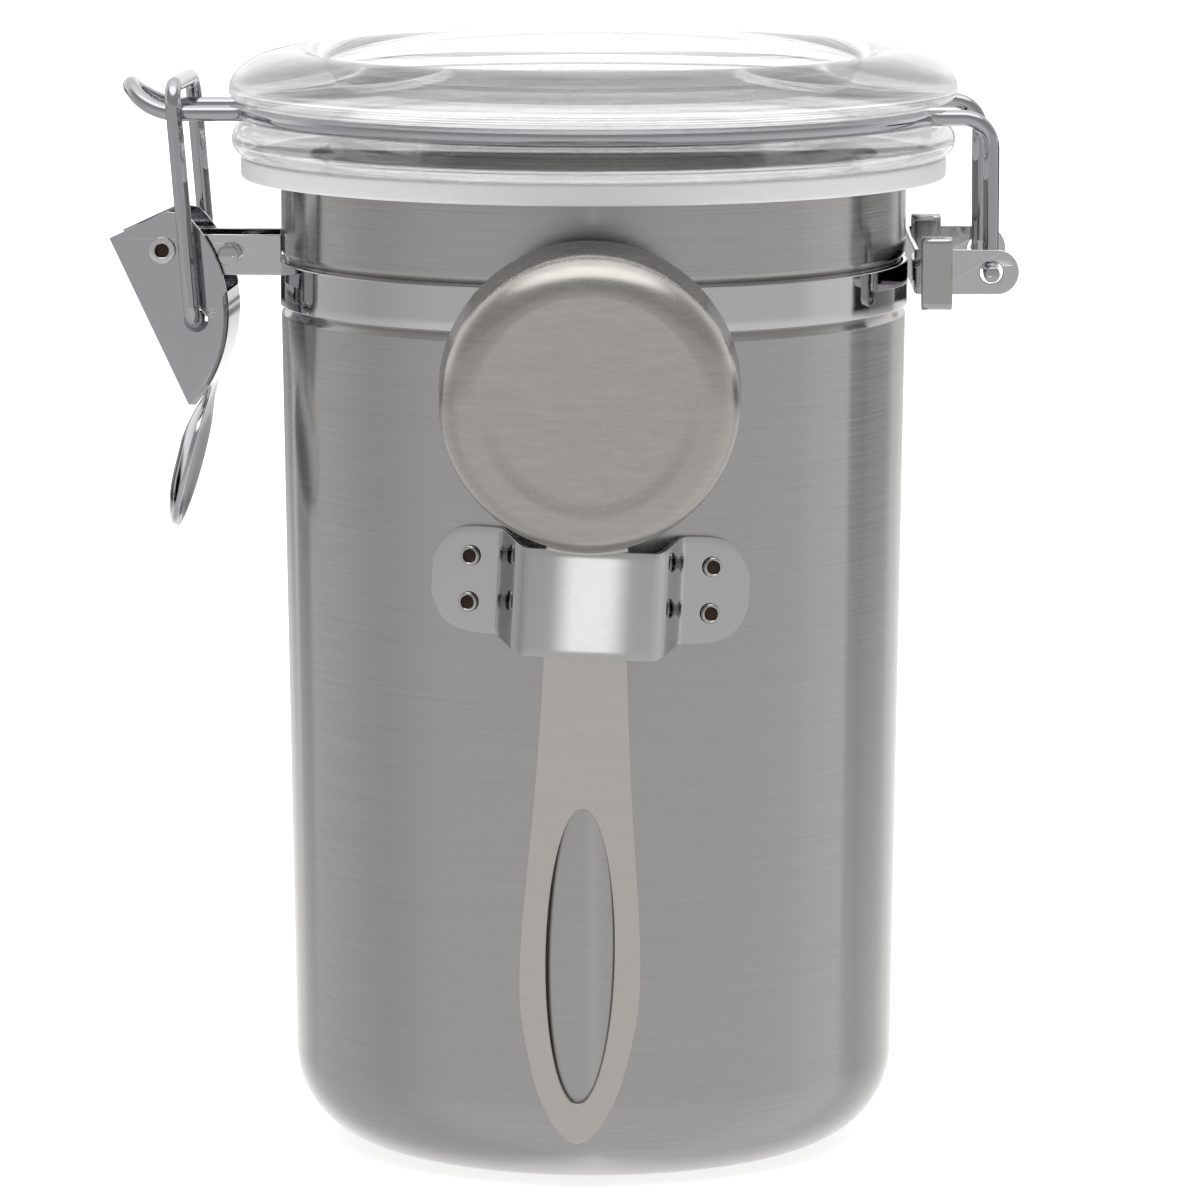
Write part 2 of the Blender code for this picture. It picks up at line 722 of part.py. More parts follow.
def bail_half():
    """The front half of the bail's route, from its hinge end to the nose's tip."""
    leg_y = HINGE_HALF_SPAN - HINGE_SHEET / 2 - BAIL_LEG_GAP - BAIL_WIRE
    end_y = HINGE_HALF_SPAN + HINGE_SHEET / 2 + BAIL_END_PAST
    leave = math.asin(leg_y / BAIL_RING)
    arrive = math.pi - math.asin(NOSE_HALF_WIDTH / BAIL_RING)
    start = leave + RING_LEAD
    steps = round((arrive - RING_LEAD - start) / RING_STEP)
    turn = (arrive - RING_LEAD - start) / steps
    angles = [start + turn * i for i in range(steps + 1)]
    points = [
        (HINGE_X, -end_y, HINGE_Z),
        (HINGE_X, -leg_y, HINGE_Z),
        (HINGE_X, -leg_y, BAIL_Z),
        (BAIL_RING * math.cos(leave), -leg_y, BAIL_Z),
    ]
    points += [(BAIL_RING * math.cos(a), -BAIL_RING * math.sin(a), BAIL_Z) for a in angles]
    points += [
        (BAIL_RING * math.cos(arrive), -NOSE_HALF_WIDTH, BAIL_Z),
        (NOSE_HOOK_X, -NOSE_HALF_WIDTH, BAIL_Z),
    ]
    bends = [BAIL_FOOT_BEND, BAIL_LEG_BEND, BAIL_RING_BEND]
    bends += [0] * len(angles) + [BAIL_RING_BEND]
    route = bent(points, bends)
    for i in range(1, NOSE_STEPS + 1):
        swing = math.pi / 2 * i / NOSE_STEPS
        rise = NOSE_HOOK_LENGTH * math.sin(swing) / NOSE_HOOK_RADIUS
        x = NOSE_HOOK_X - NOSE_HOOK_RADIUS * math.sin(rise)
        z = BAIL_Z + NOSE_HOOK_RADIUS * (1 - math.cos(rise))
        route.append(Vector((x, -NOSE_HALF_WIDTH * math.cos(swing), z)))
    return route


def make_bail(hinge):
    """The bail wire: hinge legs, ring round the lid and hooked nose, about the hinge's axis."""
    front = bail_half()
    rear = [Vector((p.x, -p.y, p.z)) for p in reversed(front[:-1])]
    axis = Vector((HINGE_X, 0, HINGE_Z))
    route = [place - axis for place in front + rear]
    return held(wire("bail_wire", route, BAIL_WIRE, PARTS, CHROMED), hinge)


def make_lid(hinge):
    """The lid: a dished top, a round rim, the wire's groove, a lower bulge and a locating boss."""
    quarter = math.pi / 2
    dish_foot = DISH_RADIUS - DISH_SLOPE
    lip_z = LID_TOP_Z - DISH_LIP
    under_rim = LID_EDGE_Z - LID_UNDER_RIM
    groove = BAIL_WIRE + 1.8 * GAP
    floor_z = DISH_FLOOR_Z - LID_FLOOR
    boss_inner = BOSS_RADIUS - BOSS_WALL
    profile = [(0, DISH_FLOOR_Z)]
    profile += arc(
        dish_foot - DISH_FILLET, DISH_FLOOR_Z + DISH_FILLET, DISH_FILLET, -quarter, 0, 3
    )
    profile += ellipse_arc(
        LID_CROWN_RADIUS, lip_z, LID_CROWN_RADIUS - DISH_RADIUS, DISH_LIP, math.pi, quarter,
        LID_ARC_STEPS - 1,
    )
    profile += ellipse_arc(
        LID_CROWN_RADIUS, LID_EDGE_Z, LID_RADIUS - LID_CROWN_RADIUS, LID_TOP_Z - LID_EDGE_Z,
        quarter, 0, LID_ARC_STEPS,
    )[1:]
    profile += [
        (LID_RADIUS - LID_UNDER_RIM / 2, LID_EDGE_Z - LID_UNDER_RIM * 0.7),
        (BAIL_RING + groove / 2, under_rim),
    ]
    profile += arc(BAIL_RING, BAIL_Z, groove, quarter, 3 * quarter, 4)
    profile += ellipse_arc(
        BULGE_RADIUS - BULGE_WIDTH, BULGE_Z, BULGE_WIDTH, BAIL_Z - groove - BULGE_Z,
        quarter * 0.8, 0, 3,
    )
    profile += [
        (BULGE_RADIUS - BULGE_WIDTH / 8, (BULGE_Z + LID_FOOT_Z) / 2),
        (LID_FOOT_RADIUS, LID_FOOT_Z),
        (BOSS_RADIUS, LID_FOOT_Z),
        (BOSS_RADIUS, LID_FOOT_Z - BOSS_DROP),
        (boss_inner, LID_FOOT_Z - BOSS_DROP),
        (boss_inner, floor_z - DISH_FILLET),
        (boss_inner - DISH_FILLET, floor_z),
        (0, floor_z),
    ]
    made = turned("lid", profile, PARTS, ACRYLIC)
    return held(moved_to_hinge(made), hinge)


def moved_to_hinge(made):
    """Shifts a turned piece, drawn about the can's axis, so that its origin is on the hinge."""
    made.location = (-HINGE_X, 0, -HINGE_Z)
    return made


def make_seal(hinge):
    """The seal: a ring that lies on the rim, with a skirt that hangs outside it."""
    inner = BOSS_RADIUS + GAP
    skirt = SEAL_RADIUS - SEAL_SKIRT_WALL
    foot = SEAL_UNDER_Z - SEAL_SKIRT
    profile = [
        (inner, SEAL_TOP_Z),
        (SEAL_RADIUS - SEAL_EDGE, SEAL_TOP_Z),
        (SEAL_RADIUS, SEAL_TOP_Z - SEAL_EDGE),
        (SEAL_RADIUS, foot + SEAL_EDGE),
        (SEAL_RADIUS - SEAL_EDGE, foot),
        (skirt, foot),
        (skirt, SEAL_UNDER_Z),
        (inner, SEAL_UNDER_Z),
    ]
    made = turned("lid_seal", profile, PARTS, SILICONE, closed=True)
    return held(moved_to_hinge(made), hinge)


def scoop_to_world():
    """The scoop's frame: the middle of its handle inside the strap, leaning out and turned a little."""
    place = Matrix.Translation((SCOOP_X, -SCOOP_OUT, STRAP_Z))
    return place @ Matrix.Rotation(SCOOP_LEAN, 4, "X") @ Matrix.Rotation(SCOOP_ROLL, 4, "Y")


def make_bowl(scoop):
    """The scoop's bowl, with its mouth in the handle's plane and its floor to the front."""
    foot = BOWL_RADIUS - BOWL_TAPER
    corner_z = BOWL_CORNER - BOWL_DEPTH
    profile = [(BOWL_RADIUS, 0)]
    profile += arc(
        foot - BOWL_CORNER, corner_z, BOWL_CORNER, 0, -math.pi / 2, BOWL_CORNER_STEPS
    )
    profile.append((0, -BOWL_DEPTH))
    made = thicken(turned("scoop_bowl", profile, PARTS, SATIN, steps=BOWL_STEPS), BOWL_WALL)
    made.matrix_local = bowl_place()
    return held(made, scoop)


def bowl_place():
    """Where the bowl's mouth is in the scoop's frame, with the bowl's axis along the frame's Y."""
    rise = (BOWL_Z - STRAP_Z) / math.cos(SCOOP_LEAN)
    return Matrix.Translation((0, 0, rise)) @ Matrix.Rotation(-math.pi / 2, 4, "X")


def smoothed(shares, steps):
    """A smooth line through a table of (place, value) shares, with more points."""
    points = []
    last = len(shares) - 1
    for i in range(last):
        before, start = shares[max(i - 1, 0)], shares[i]
        end, after = shares[i + 1], shares[min(i + 2, last)]
        for j in range(steps):
            t = j / steps
            values = []
            for a, b, c, d in zip(before, start, end, after):
                bend = (2 * a - 5 * b + 4 * c - d) * t**2 + (3 * b - a - 3 * c + d) * t**3
                values.append((2 * b + (c - a) * t + bend) / 2)
            points.append(tuple(values))
    points.append(tuple(shares[last]))
    return points


def make_handle(scoop):
    """The handle: a tapered strip with a long oval hole, and a foot turned up under the bowl."""
    rise = (BOWL_Z - STRAP_Z) / math.cos(SCOOP_LEAN)
    top = rise - BOWL_RADIUS - GAP - HANDLE_SHEET / 2
    tip = top - HANDLE_LENGTH
    side = HANDLE_SHARES[:2] + tuple(smoothed(HANDLE_SHARES[1:], 2)[1:])
    right = [(HANDLE_HALF_WIDTH * width, tip + HANDLE_LENGTH * along) for along, width in side]
    left = [(-x, z) for x, z in reversed(right[1:])]
    oval = ellipse_arc(
        0, tip + OVAL_FROM_TIP, OVAL_HALF_WIDTH, OVAL_HALF_LENGTH, 0, 2 * math.pi, OVAL_STEPS
    )[:-1]
    mesh = plate("scoop_handle", right + left, HANDLE_SHEET, FRONT, [oval])
    made = held(add_object("scoop_handle", mesh, PARTS, SATIN), scoop)
    inner = BOWL_RADIUS + GAP
    down = -math.pi / 2
    sector = arc(0, rise, inner + HANDLE_SHEET, down - FOOT_HALF_ANGLE, down + FOOT_HALF_ANGLE, FOOT_STEPS)
    sector += arc(0, rise, inner, down + FOOT_HALF_ANGLE, down - FOOT_HALF_ANGLE, FOOT_STEPS)
    foot = held(helper("handle_foot", plate("handle_foot", sector, FOOT_DEPTH, FRONT)), scoop)
    foot.location.y = HANDLE_SHEET / 3 - FOOT_DEPTH / 2
    return combine(made, foot, "UNION")


def strap_sections():
    """Stations along the strap: (x, how far it stands out as a share, half height, lift)."""
    half = STRAP_HEIGHT / 2
    stations = []
    for i in range(FLANGE_STEPS + 1):
        along = 1 - i / FLANGE_STEPS
        x = RISER_HALF_WIDTH + (FLANGE_HALF_WIDTH - RISER_HALF_WIDTH) * along
        height = half * math.sqrt(1 - 0.9 * along**4)
        stations.append((x, 0.0, height, STRAP_LIFT))
    inner = BRIDGE_HALF_WIDTH + BRIDGE_BEND / 2
    outer = RISER_HALF_WIDTH - BRIDGE_BEND / 2
    bend_share = 0.12
    stations.append((outer, bend_share, half, STRAP_LIFT * (1 - bend_share)))
    stations.append((inner, 1 - bend_share, half, STRAP_LIFT * bend_share))
    stations.append((BRIDGE_HALF_WIDTH - BRIDGE_BEND / 2, 1.0, half, 0.0))
    left = [(-x, out, height, lift) for x, out, height, lift in stations]
    right = list(reversed(stations))
    return left + [(0.0, 1.0, half, 0.0)] + right


def on_strap(x, height, out=0.0):
    """A place on the strap's inner face, tilted with it. out runs from the can's wall to the bridge."""
    turned_x = STRAP_X + x * math.cos(STRAP_TILT) + height * math.sin(STRAP_TILT)
    z = STRAP_Z + height * math.cos(STRAP_TILT) - x * math.sin(STRAP_TILT)
    radius = can_radius_at(z) + GAP
    wall = math.sqrt(radius**2 - turned_x**2)
    bridge = can_radius_at(STRAP_Z) + BRIDGE_SLOT
    return Vector((turned_x, -wall - out * (bridge - wall), z))


def rivet_places():
    """The four rivets' names and frames, square to the can's wall, each with Z pointing out."""
    places = {}
    for side, side_name in ((-1, "left"), (1, "right")):
        for rise, rise_name in ((-RIVET_Z, "lower"), (RIVET_Z, "upper")):
            foot = on_strap(side * RIVET_X, STRAP_LIFT + rise)
            facing = math.atan2(foot.y, foot.x)
            turn = Matrix.Rotation(facing, 4, "Z") @ Matrix.Rotation(math.pi / 2, 4, "Y")
            places[f"{side_name}_{rise_name}"] = Matrix.Translation(foot) @ turn
    return places


def make_strap():
    """The strap: curved flanges on the can, raised sides and the flat bridge over the handle."""
    rows = []
    for x, out, half, lift in strap_sections():
        heights = [lift + half * (2 * j / STRAP_ROWS - 1) for j in range(STRAP_ROWS + 1)]
        rows.append([on_strap(x, height, out) for height in heights])
    made = add_object("scoop_strap", grid("scoop_strap", rows), PARTS, POLISHED)
    smooth(made.data)
    thicken(made, STRAP_SHEET)
    reach = STRAP_SHEET + OVERRUN
    radius = RIVET_SHANK + GAP
    profile = [(0, reach), (radius, reach), (radius, -OVERRUN), (0, -OVERRUN)]
    drill = finished_mesh(turned("drill", profile, CUTTERS, steps=SMALL_STEPS), "drill")
    bpy.data.objects.remove(bpy.data.objects["drill"])
    for name, place in rivet_places().items():
        hole = helper(f"rivet_hole_{name}", drill)
        hole.matrix_world = place
        combine(made, hole, "DIFFERENCE")
    return made


def make_rivets():
    """The four hollow rivets that fasten the strap's flanges."""
    head = STRAP_SHEET + GAP
    top = head + RIVET_PROUD
    profile = [
        (0, head + RIVET_EDGE),
        (RIVET_DIMPLE, head + RIVET_EDGE),
        (RIVET_DIMPLE, top),
        (RIVET_HEAD - RIVET_EDGE, top),
        (RIVET_HEAD, top - RIVET_EDGE),
        (RIVET_HEAD, head),
        (RIVET_SHANK, head),
        (RIVET_SHANK, 0),
        (0, 0),
    ]
    made = turned("rivet", profile, CUTTERS, steps=SMALL_STEPS)
    mesh = finished_mesh(made, "rivet")
    bpy.data.objects.remove(made)
    for name, place in rivet_places().items():
        set_piece(f"strap_rivet_{name}", mesh, place, POLISHED)


clear_scene()
PARTS = make_collection("coffee_canister")
CUTTERS = make_collection("cutters")

BRUSHED = material("brushed_steel", (0.55, 0.54, 0.53), 1.0, 0.34)
SATIN = material("satin_steel", (0.58, 0.57, 0.55), 1.0, 0.38)
POLISHED = material("polished_steel", (0.68, 0.68, 0.68), 1.0, 0.12)
CHROMED = material("chromed_steel", (0.62, 0.62, 0.63), 1.0, 0.06)
ACRYLIC = material("clear_acrylic", (0.97, 0.98, 0.98), 0.0, 0.03, transmission=1.0)
SILICONE = material("white_silicone", (0.82, 0.82, 0.81), 0.0, 0.45)

latch_frame = frame("latch_axis", latch_to_world())
link_frame = frame(
    "link_axis", Matrix.Translation((LINK_PIVOT_X, 0, LINK_PIVOT_Z)), parent=latch_frame
)
hinge_frame = frame("hinge_axis", Matrix.Translation((HINGE_X, 0, HINGE_Z)))
scoop_frame = frame("scoop_slide", scoop_to_world())

make_can()
make_band()
make_bracket()
make_clips()
make_pin(latch_frame)
make_eyelets(latch_frame)
make_lever(latch_frame)
make_link(link_frame)
make_bail(hinge_frame)
make_lid(hinge_frame)
make_seal(hinge_frame)
make_bowl(scoop_frame)
make_handle(scoop_frame)
make_strap()
make_rivets()
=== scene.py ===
"""Looks for a steel coffee canister with a clear lid, a wire bail, an over-centre latch and a scoop.

Each class below builds one part of the canister, gives it its finish and tells the frame which body it
rides on. Lengths are in metres. The can stands on the origin, +Z is up, -Y is the front with the scoop,
+X the hinge and -X the latch.
"""

from __future__ import annotations

import logging
import math
from collections.abc import Iterable, Sequence
from dataclasses import dataclass, field
from enum import Enum

import bmesh
import bpy
from bpy.types import Mesh, Node, NodeSocket, NodeTree, Object
from mathutils import Matrix, Vector

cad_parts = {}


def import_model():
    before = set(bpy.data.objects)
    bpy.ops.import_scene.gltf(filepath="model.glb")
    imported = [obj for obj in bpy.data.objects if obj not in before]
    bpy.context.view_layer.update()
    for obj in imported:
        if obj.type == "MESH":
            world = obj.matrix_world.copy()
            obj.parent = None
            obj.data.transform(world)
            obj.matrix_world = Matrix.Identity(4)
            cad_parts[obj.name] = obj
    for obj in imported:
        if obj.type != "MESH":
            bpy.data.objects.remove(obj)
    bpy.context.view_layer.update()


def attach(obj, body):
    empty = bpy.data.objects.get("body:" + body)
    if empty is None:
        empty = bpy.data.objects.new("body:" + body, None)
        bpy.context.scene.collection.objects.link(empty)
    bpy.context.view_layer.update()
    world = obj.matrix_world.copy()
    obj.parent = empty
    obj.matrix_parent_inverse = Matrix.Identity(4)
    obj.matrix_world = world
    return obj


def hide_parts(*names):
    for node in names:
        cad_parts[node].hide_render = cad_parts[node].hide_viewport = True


LOG = logging.getLogger("canister")

MM = 0.001
WELD = 0.002 * MM
QUARTER = math.pi / 2
# edges sharper than this many degrees stay sharp on sheets and wires
CORNER = 50.0
# where most of a noise texture's values lie
NOISE_RANGE = (0.3, 0.7)

Flat = tuple[float, float]
Colour = tuple[float, float, float, float]
UP = Vector((0, 0, 1))
STAY = Matrix.Identity(4)
# stands a plate that is drawn in the XY plane upright, with its front to -Y
FRONT = Matrix(((1, 0, 0, 0), (0, 0, -1, 0), (0, 1, 0, 0), (0, 0, 0, 1)))


class Body(Enum):
    """The rigid bodies that pieces ride on."""

    CANISTER = "canister"
    LID = "lid"
    LEVER = "lever"
    LINK = "link"
    SCOOP = "scoop"


class Grain(Enum):
    """Which way a sheet was brushed."""

    ROUND_Z = "round the can"
    ALONG_X = "across"


# Colours and nodes


def linear(code: str) -> Colour:
    """Turns an sRGB hex colour into a linear one.

    Args:
        code: the colour as six hex digits after a hash sign.

    Returns:
        Red, green, blue and an alpha of 1.
    """
    parts = [int(code[i : i + 2], 16) / 255 for i in (1, 3, 5)]
    red, green, blue = (v / 12.92 if v <= 0.04045 else ((v + 0.055) / 1.055) ** 2.4 for v in parts)
    return red, green, blue, 1.0


def toned(code: str, level: float = 1.0, blue_level: float | None = None) -> Colour:
    """Returns a hex colour as linear, times a level, its blue times one of its own if that is given."""
    red, green, blue, alpha = linear(code)
    return red * level, green * level, blue * (level if blue_level is None else blue_level), alpha


def grey(level: float) -> Colour:
    """Returns a neutral colour of some brightness."""
    return level, level, level, 1.0


def feed(tree: NodeTree, node: Node, inputs: dict) -> None:
    """Sets a node's inputs and connects them.

    Args:
        tree: the node tree that holds it.
        node: the node.
        inputs: for each input's name or number, a value, a socket, or a node whose first output feeds it.
    """
    for key, value in inputs.items():
        source = value.outputs[0] if isinstance(value, Node) else value
        if isinstance(source, NodeSocket):
            tree.links.new(source, node.inputs[key])
        else:
            node.inputs[key].default_value = source


def add_node(tree: NodeTree, kind: str, inputs: dict | None = None, **settings: object) -> Node:
    """Adds a node, sets it and connects it.

    Args:
        tree: the node tree that gets it.
        kind: the node's type, as Blender names it after "ShaderNode".
        inputs: what feed() gives it.
        settings: the node's own properties.

    Returns:
        The new node.
    """
    node = tree.nodes.new(f"ShaderNode{kind}")
    for name, value in settings.items():
        setattr(node, name, value)
    feed(tree, node, inputs or {})
    return node


def spread(value: object, low: float, high: float, start: float = 0.0, end: float = 1.0) -> dict:
    """Returns the inputs with which MapRange spreads low to high over start to end."""
    return {"Value": value, "From Min": low, "From Max": high, "To Min": start, "To Max": end}


def set_ramp(node: Node, stops: Sequence[tuple[float, Colour]]) -> Node:
    """Gives a colour ramp its stops.

    Args:
        node: the ColorRamp node.
        stops: places from 0 to 1, each with its colour.

    Returns:
        The same node.
    """
    ramp = node.color_ramp
    while len(ramp.elements) > 1:
        ramp.elements.remove(ramp.elements[-1])
    ramp.elements[0].position, ramp.elements[0].color = stops[0]
    for place, colour in stops[1:]:
        ramp.elements.new(place).color = colour
    return node


# Finishes


@dataclass(frozen=True)
class Finish:
    """A surface's common facts. A kind of finish adds its own nodes in dress()."""

    name: str
    slot: str
    colour: str
    roughness: float

    def material(self) -> bpy.types.Material:
        """Makes the finish's material when it is first asked for.

        Returns:
            The material.
        """
        found = bpy.data.materials.get(self.name)
        if found is not None:
            return found
        made = bpy.data.materials.new(self.name)
        made.use_nodes = True
        tree = made.node_tree
        shader = tree.nodes["Principled BSDF"]
        feed(tree, shader, {"Base Color": linear(self.colour), "Roughness": self.roughness})
        made.diffuse_color = linear(self.colour)
        self.dress(tree, shader)
        return made

    def dress(self, tree: NodeTree, shader: Node) -> None:
        """Adds nothing to a plain finish."""


@dataclass(frozen=True)
class BrushedSteel(Finish):
    """Stainless sheet brushed with an abrasive belt: fine straight streaks and faint clouds."""

    grain: Grain = Grain.ROUND_Z
    streak: float = 22.0 * MM
    line: float = 0.32 * MM
    depth: float = 0.10
    stretch: float = 0.98
    # how much broader the clouds are than the streaks, and their share of the tone
    cloud: float = 9.0
    cloud_share: float = 0.12
    # the darkest and lightest tones, each for red and green and for blue
    tones: tuple[Flat, Flat] = ((0.94, 0.943), (1.05, 1.047))
    # the least and most roughness, as shares of its own
    polish: Flat = (0.84, 1.18)

    def dress(self, tree: NodeTree, shader: Node) -> None:
        """Adds streaks to the roughness, the colour and the bump.

        Args:
            tree: the material's nodes.
            shader: its Principled BSDF.
        """
        fine, long = 1 / self.line, 1 / self.streak
        scale = {Grain.ROUND_Z: (long, long, fine), Grain.ALONG_X: (long, fine, fine)}[self.grain]
        wide = tuple(v / self.cloud for v in scale)
        where = add_node(tree, "TexCoord").outputs["Object"]
        lined = add_node(tree, "Mapping", {"Vector": where, "Scale": scale})
        broad = add_node(tree, "Mapping", {"Vector": where, "Scale": wide})
        sharp = {"Vector": lined, "Scale": 1.0, "Detail": 3.0, "Roughness": 0.65}
        streaks = add_node(tree, "TexNoise", sharp)
        clouds = add_node(tree, "TexNoise", {"Vector": broad, "Scale": 1.0, "Detail": 2.0, "Roughness": 0.5})
        tone = add_node(tree, "Mix", {"Factor": self.cloud_share, "A": streaks, "B": clouds})
        dark, light = (toned(self.colour, *levels) for levels in self.tones)
        shade = add_node(tree, "ValToRGB", {"Fac": tone})
        set_ramp(shade, [(0.30, dark), (0.50, linear(self.colour)), (0.70, light)])
        ends = [self.roughness * share for share in self.polish]
        rough = add_node(tree, "MapRange", spread(streaks, *NOISE_RANGE, *ends))
        bump = add_node(tree, "Bump", {"Height": streaks, "Strength": self.depth, "Distance": 0.012 * MM})
        feed(tree, shader, {"Metallic": 1.0, "Anisotropic": self.stretch})
        feed(tree, shader, {"Base Color": shade, "Roughness": rough, "Normal": bump})
        if self.grain is Grain.ROUND_Z:
            turn = add_node(tree, "Tangent", direction_type="RADIAL", axis="Z")
            feed(tree, shader, {"Tangent": turn, "Anisotropic Rotation": 0.25})


@dataclass(frozen=True)
class TumbledSteel(Finish):
    """Pressed stainless tumbled with fine media: a soft satin with grit-sized sparkle."""

    grit: float = 0.22 * MM
    # the strokes' scale: about 6 mm long and 0.7 mm high
    stroke: tuple[float, float, float] = (180.0, 180.0, 1500.0)
    stroke_share: float = 0.4
    # the darkest and lightest tones, each for red and green and for blue
    tones: tuple[Flat, Flat] = ((0.86, 0.87), (1.12, 1.11))
    # the least and most roughness, as shares of its own
    polish: Flat = (0.88, 1.14)

    def dress(self, tree: NodeTree, shader: Node) -> None:
        """Adds the grit and the media's faint strokes.

        Args:
            tree: the material's nodes.
            shader: its Principled BSDF.
        """
        where = add_node(tree, "TexCoord").outputs["Object"]
        across = add_node(tree, "Mapping", {"Vector": where, "Scale": self.stroke})
        grit = add_node(tree, "TexNoise", {"Vector": where, "Scale": 1 / self.grit, "Detail": 2.0})
        strokes = add_node(tree, "TexNoise", {"Vector": across, "Scale": 1.0, "Detail": 3.0})
        both = add_node(tree, "Mix", {"Factor": self.stroke_share, "A": grit, "B": strokes})
        shade = add_node(tree, "ValToRGB", {"Fac": both})
        dark, light = (toned(self.colour, *levels) for levels in self.tones)
        set_ramp(shade, [(0.30, dark), (0.70, light)])
        ends = [self.roughness * share for share in self.polish]
        rough = add_node(tree, "MapRange", spread(both, *NOISE_RANGE, *ends))
        bump = add_node(tree, "Bump", {"Height": both, "Strength": 0.22, "Distance": 0.03 * MM})
        feed(tree, shader, {"Metallic": 1.0, "Base Color": shade, "Roughness": rough, "Normal": bump})


@dataclass(frozen=True)
class BrightSteel(Finish):
    """Polished strip or plated wire: a mirror with slight ripples and hairline wear."""

    ripple: float = 0.05
    wear: float = 0.05
    # ripples left by the rolls, and hairlines and fingered patches, by their distance apart
    wave: float = 6 * MM
    mark: float = 1.1 * MM

    def dress(self, tree: NodeTree, shader: Node) -> None:
        """Adds the ripples of rolled stock and the wear of handling.

        Args:
            tree: the material's nodes.
            shader: its Principled BSDF.
        """
        where = add_node(tree, "TexCoord").outputs["Object"]
        waves = add_node(tree, "TexNoise", {"Vector": where, "Scale": 1 / self.wave, "Detail": 1.0})
        hairlines = {"Vector": where, "Scale": 1 / self.mark, "Detail": 4.0, "Roughness": 0.7}
        marks = add_node(tree, "TexNoise", hairlines)
        ends = self.roughness, self.roughness + self.wear
        rough = add_node(tree, "MapRange", spread(marks, 0.42, 0.72, *ends))
        bump = add_node(tree, "Bump", {"Height": waves, "Strength": self.ripple, "Distance": 0.3 * MM})
        feed(tree, shader, {"Metallic": 1.0, "Roughness": rough, "Normal": bump})


@dataclass(frozen=True)
class ClearAcrylic(Finish):
    """Injection-moulded acrylic: water clear, with faint flow ripples."""

    ior: float = 1.49
    clarity: float = 0.97
    # the Alpha: total reflection traps some light paths in the lid's floor, where they would end dark,
    # so a share of the light goes straight through
    cover: float = 0.65
    # flow ripples, by their distance apart
    wave: float = 14 * MM

    def dress(self, tree: NodeTree, shader: Node) -> None:
        """Makes it clear and adds the ripples.

        Args:
            tree: the material's nodes.
            shader: its Principled BSDF.
        """
        where = add_node(tree, "TexCoord").outputs["Object"]
        waves = add_node(tree, "TexNoise", {"Vector": where, "Scale": 1 / self.wave, "Detail": 1.5})
        bump = add_node(tree, "Bump", {"Height": waves, "Strength": 0.015, "Distance": 0.5 * MM})
        clear = {"Transmission Weight": self.clarity, "Alpha": self.cover, "IOR": self.ior, "Normal": bump}
        feed(tree, shader, clear)


@dataclass(frozen=True)
class MouldedSilicone(Finish):
    """Moulded silicone rubber: white, soft and a little translucent."""

    grain: float = 0.5 * MM

    def dress(self, tree: NodeTree, shader: Node) -> None:
        """Adds the translucency and a fine mould texture.

        Args:
            tree: the material's nodes.
            shader: its Principled BSDF.
        """
        where = add_node(tree, "TexCoord").outputs["Object"]
        skin = add_node(tree, "TexNoise", {"Vector": where, "Scale": 1 / self.grain, "Detail": 2.0})
        shade = add_node(tree, "ValToRGB", {"Fac": skin})
        set_ramp(shade, [(0.3, toned(self.colour, 0.95)), (0.7, linear(self.colour))])
        bump = add_node(tree, "Bump", {"Height": skin, "Strength": 0.08, "Distance": 0.03 * MM})
        feed(tree, shader, {"IOR": 1.41, "Base Color": shade, "Normal": bump, "Subsurface Weight": 0.35})
        feed(tree, shader, {"Subsurface Radius": (1.0, 1.0, 0.95), "Subsurface Scale": 1.2 * MM})


BRUSHED_CAN = BrushedSteel("belt_brushed_stainless", "brushed_steel", "#B2B1AF", 0.19)
SATIN_HANDLE = BrushedSteel(
    "cross_brushed_stainless", "satin_steel", "#C6C1BD", 0.34, Grain.ALONG_X, 9.0 * MM, 0.3 * MM, 0.12, 0.0
)
SATIN_BOWL = TumbledSteel("tumbled_stainless", "satin_steel", "#B5B2AE", 0.26)
POLISHED = BrightSteel("polished_stainless_strip", "polished_steel", "#CFCED0", 0.05, 0.03, 0.04)
PRESSED = BrightSteel("pressed_strap_stainless", "polished_steel", "#B8B8B7", 0.05, 0.006, 0.015)
CHROMED = BrightSteel("bright_chrome_plate", "chromed_steel", "#B6B6BA", 0.045, 0.06, 0.03)
STAMPED = BrightSteel("stamped_chrome_plate", "chromed_steel", "#BDBDC1", 0.06, 0.03, 0.04)
MANDREL = BrightSteel("oxidised_mandrel_steel", "polished_steel", "#41362F", 0.42, 0.10, 0.10)
ACRYLIC = ClearAcrylic("moulded_clear_acrylic", "clear_acrylic", "#FBFCFC", 0.015)
# greyer than white rubber, because the seal hangs in the lid's shade
SILICONE = MouldedSilicone("moulded_white_silicone", "white_silicone", "#D4D4D6", 0.46)


# Shapes


def ellipse_arc(
    x: float, y: float, width: float, height: float, start: float, end: float, steps: int
) -> list[Flat]:
    """Returns points on an ellipse's arc, by its middle, half sizes, end angles in radians and steps."""
    angles = [start + (end - start) / steps * i for i in range(steps + 1)]
    return [(x + width * math.cos(angle), y + height * math.sin(angle)) for angle in angles]


def arc(x: float, y: float, radius: float, start: float, end: float, steps: int) -> list[Flat]:
    """Returns the points on a circle's arc."""
    return ellipse_arc(x, y, radius, radius, start, end, steps)


def circle(x: float, y: float, radius: float, steps: int = 40) -> list[Flat]:
    """Returns the points of a whole circle."""
    return arc(x, y, radius, 0, math.tau, steps)[:-1]


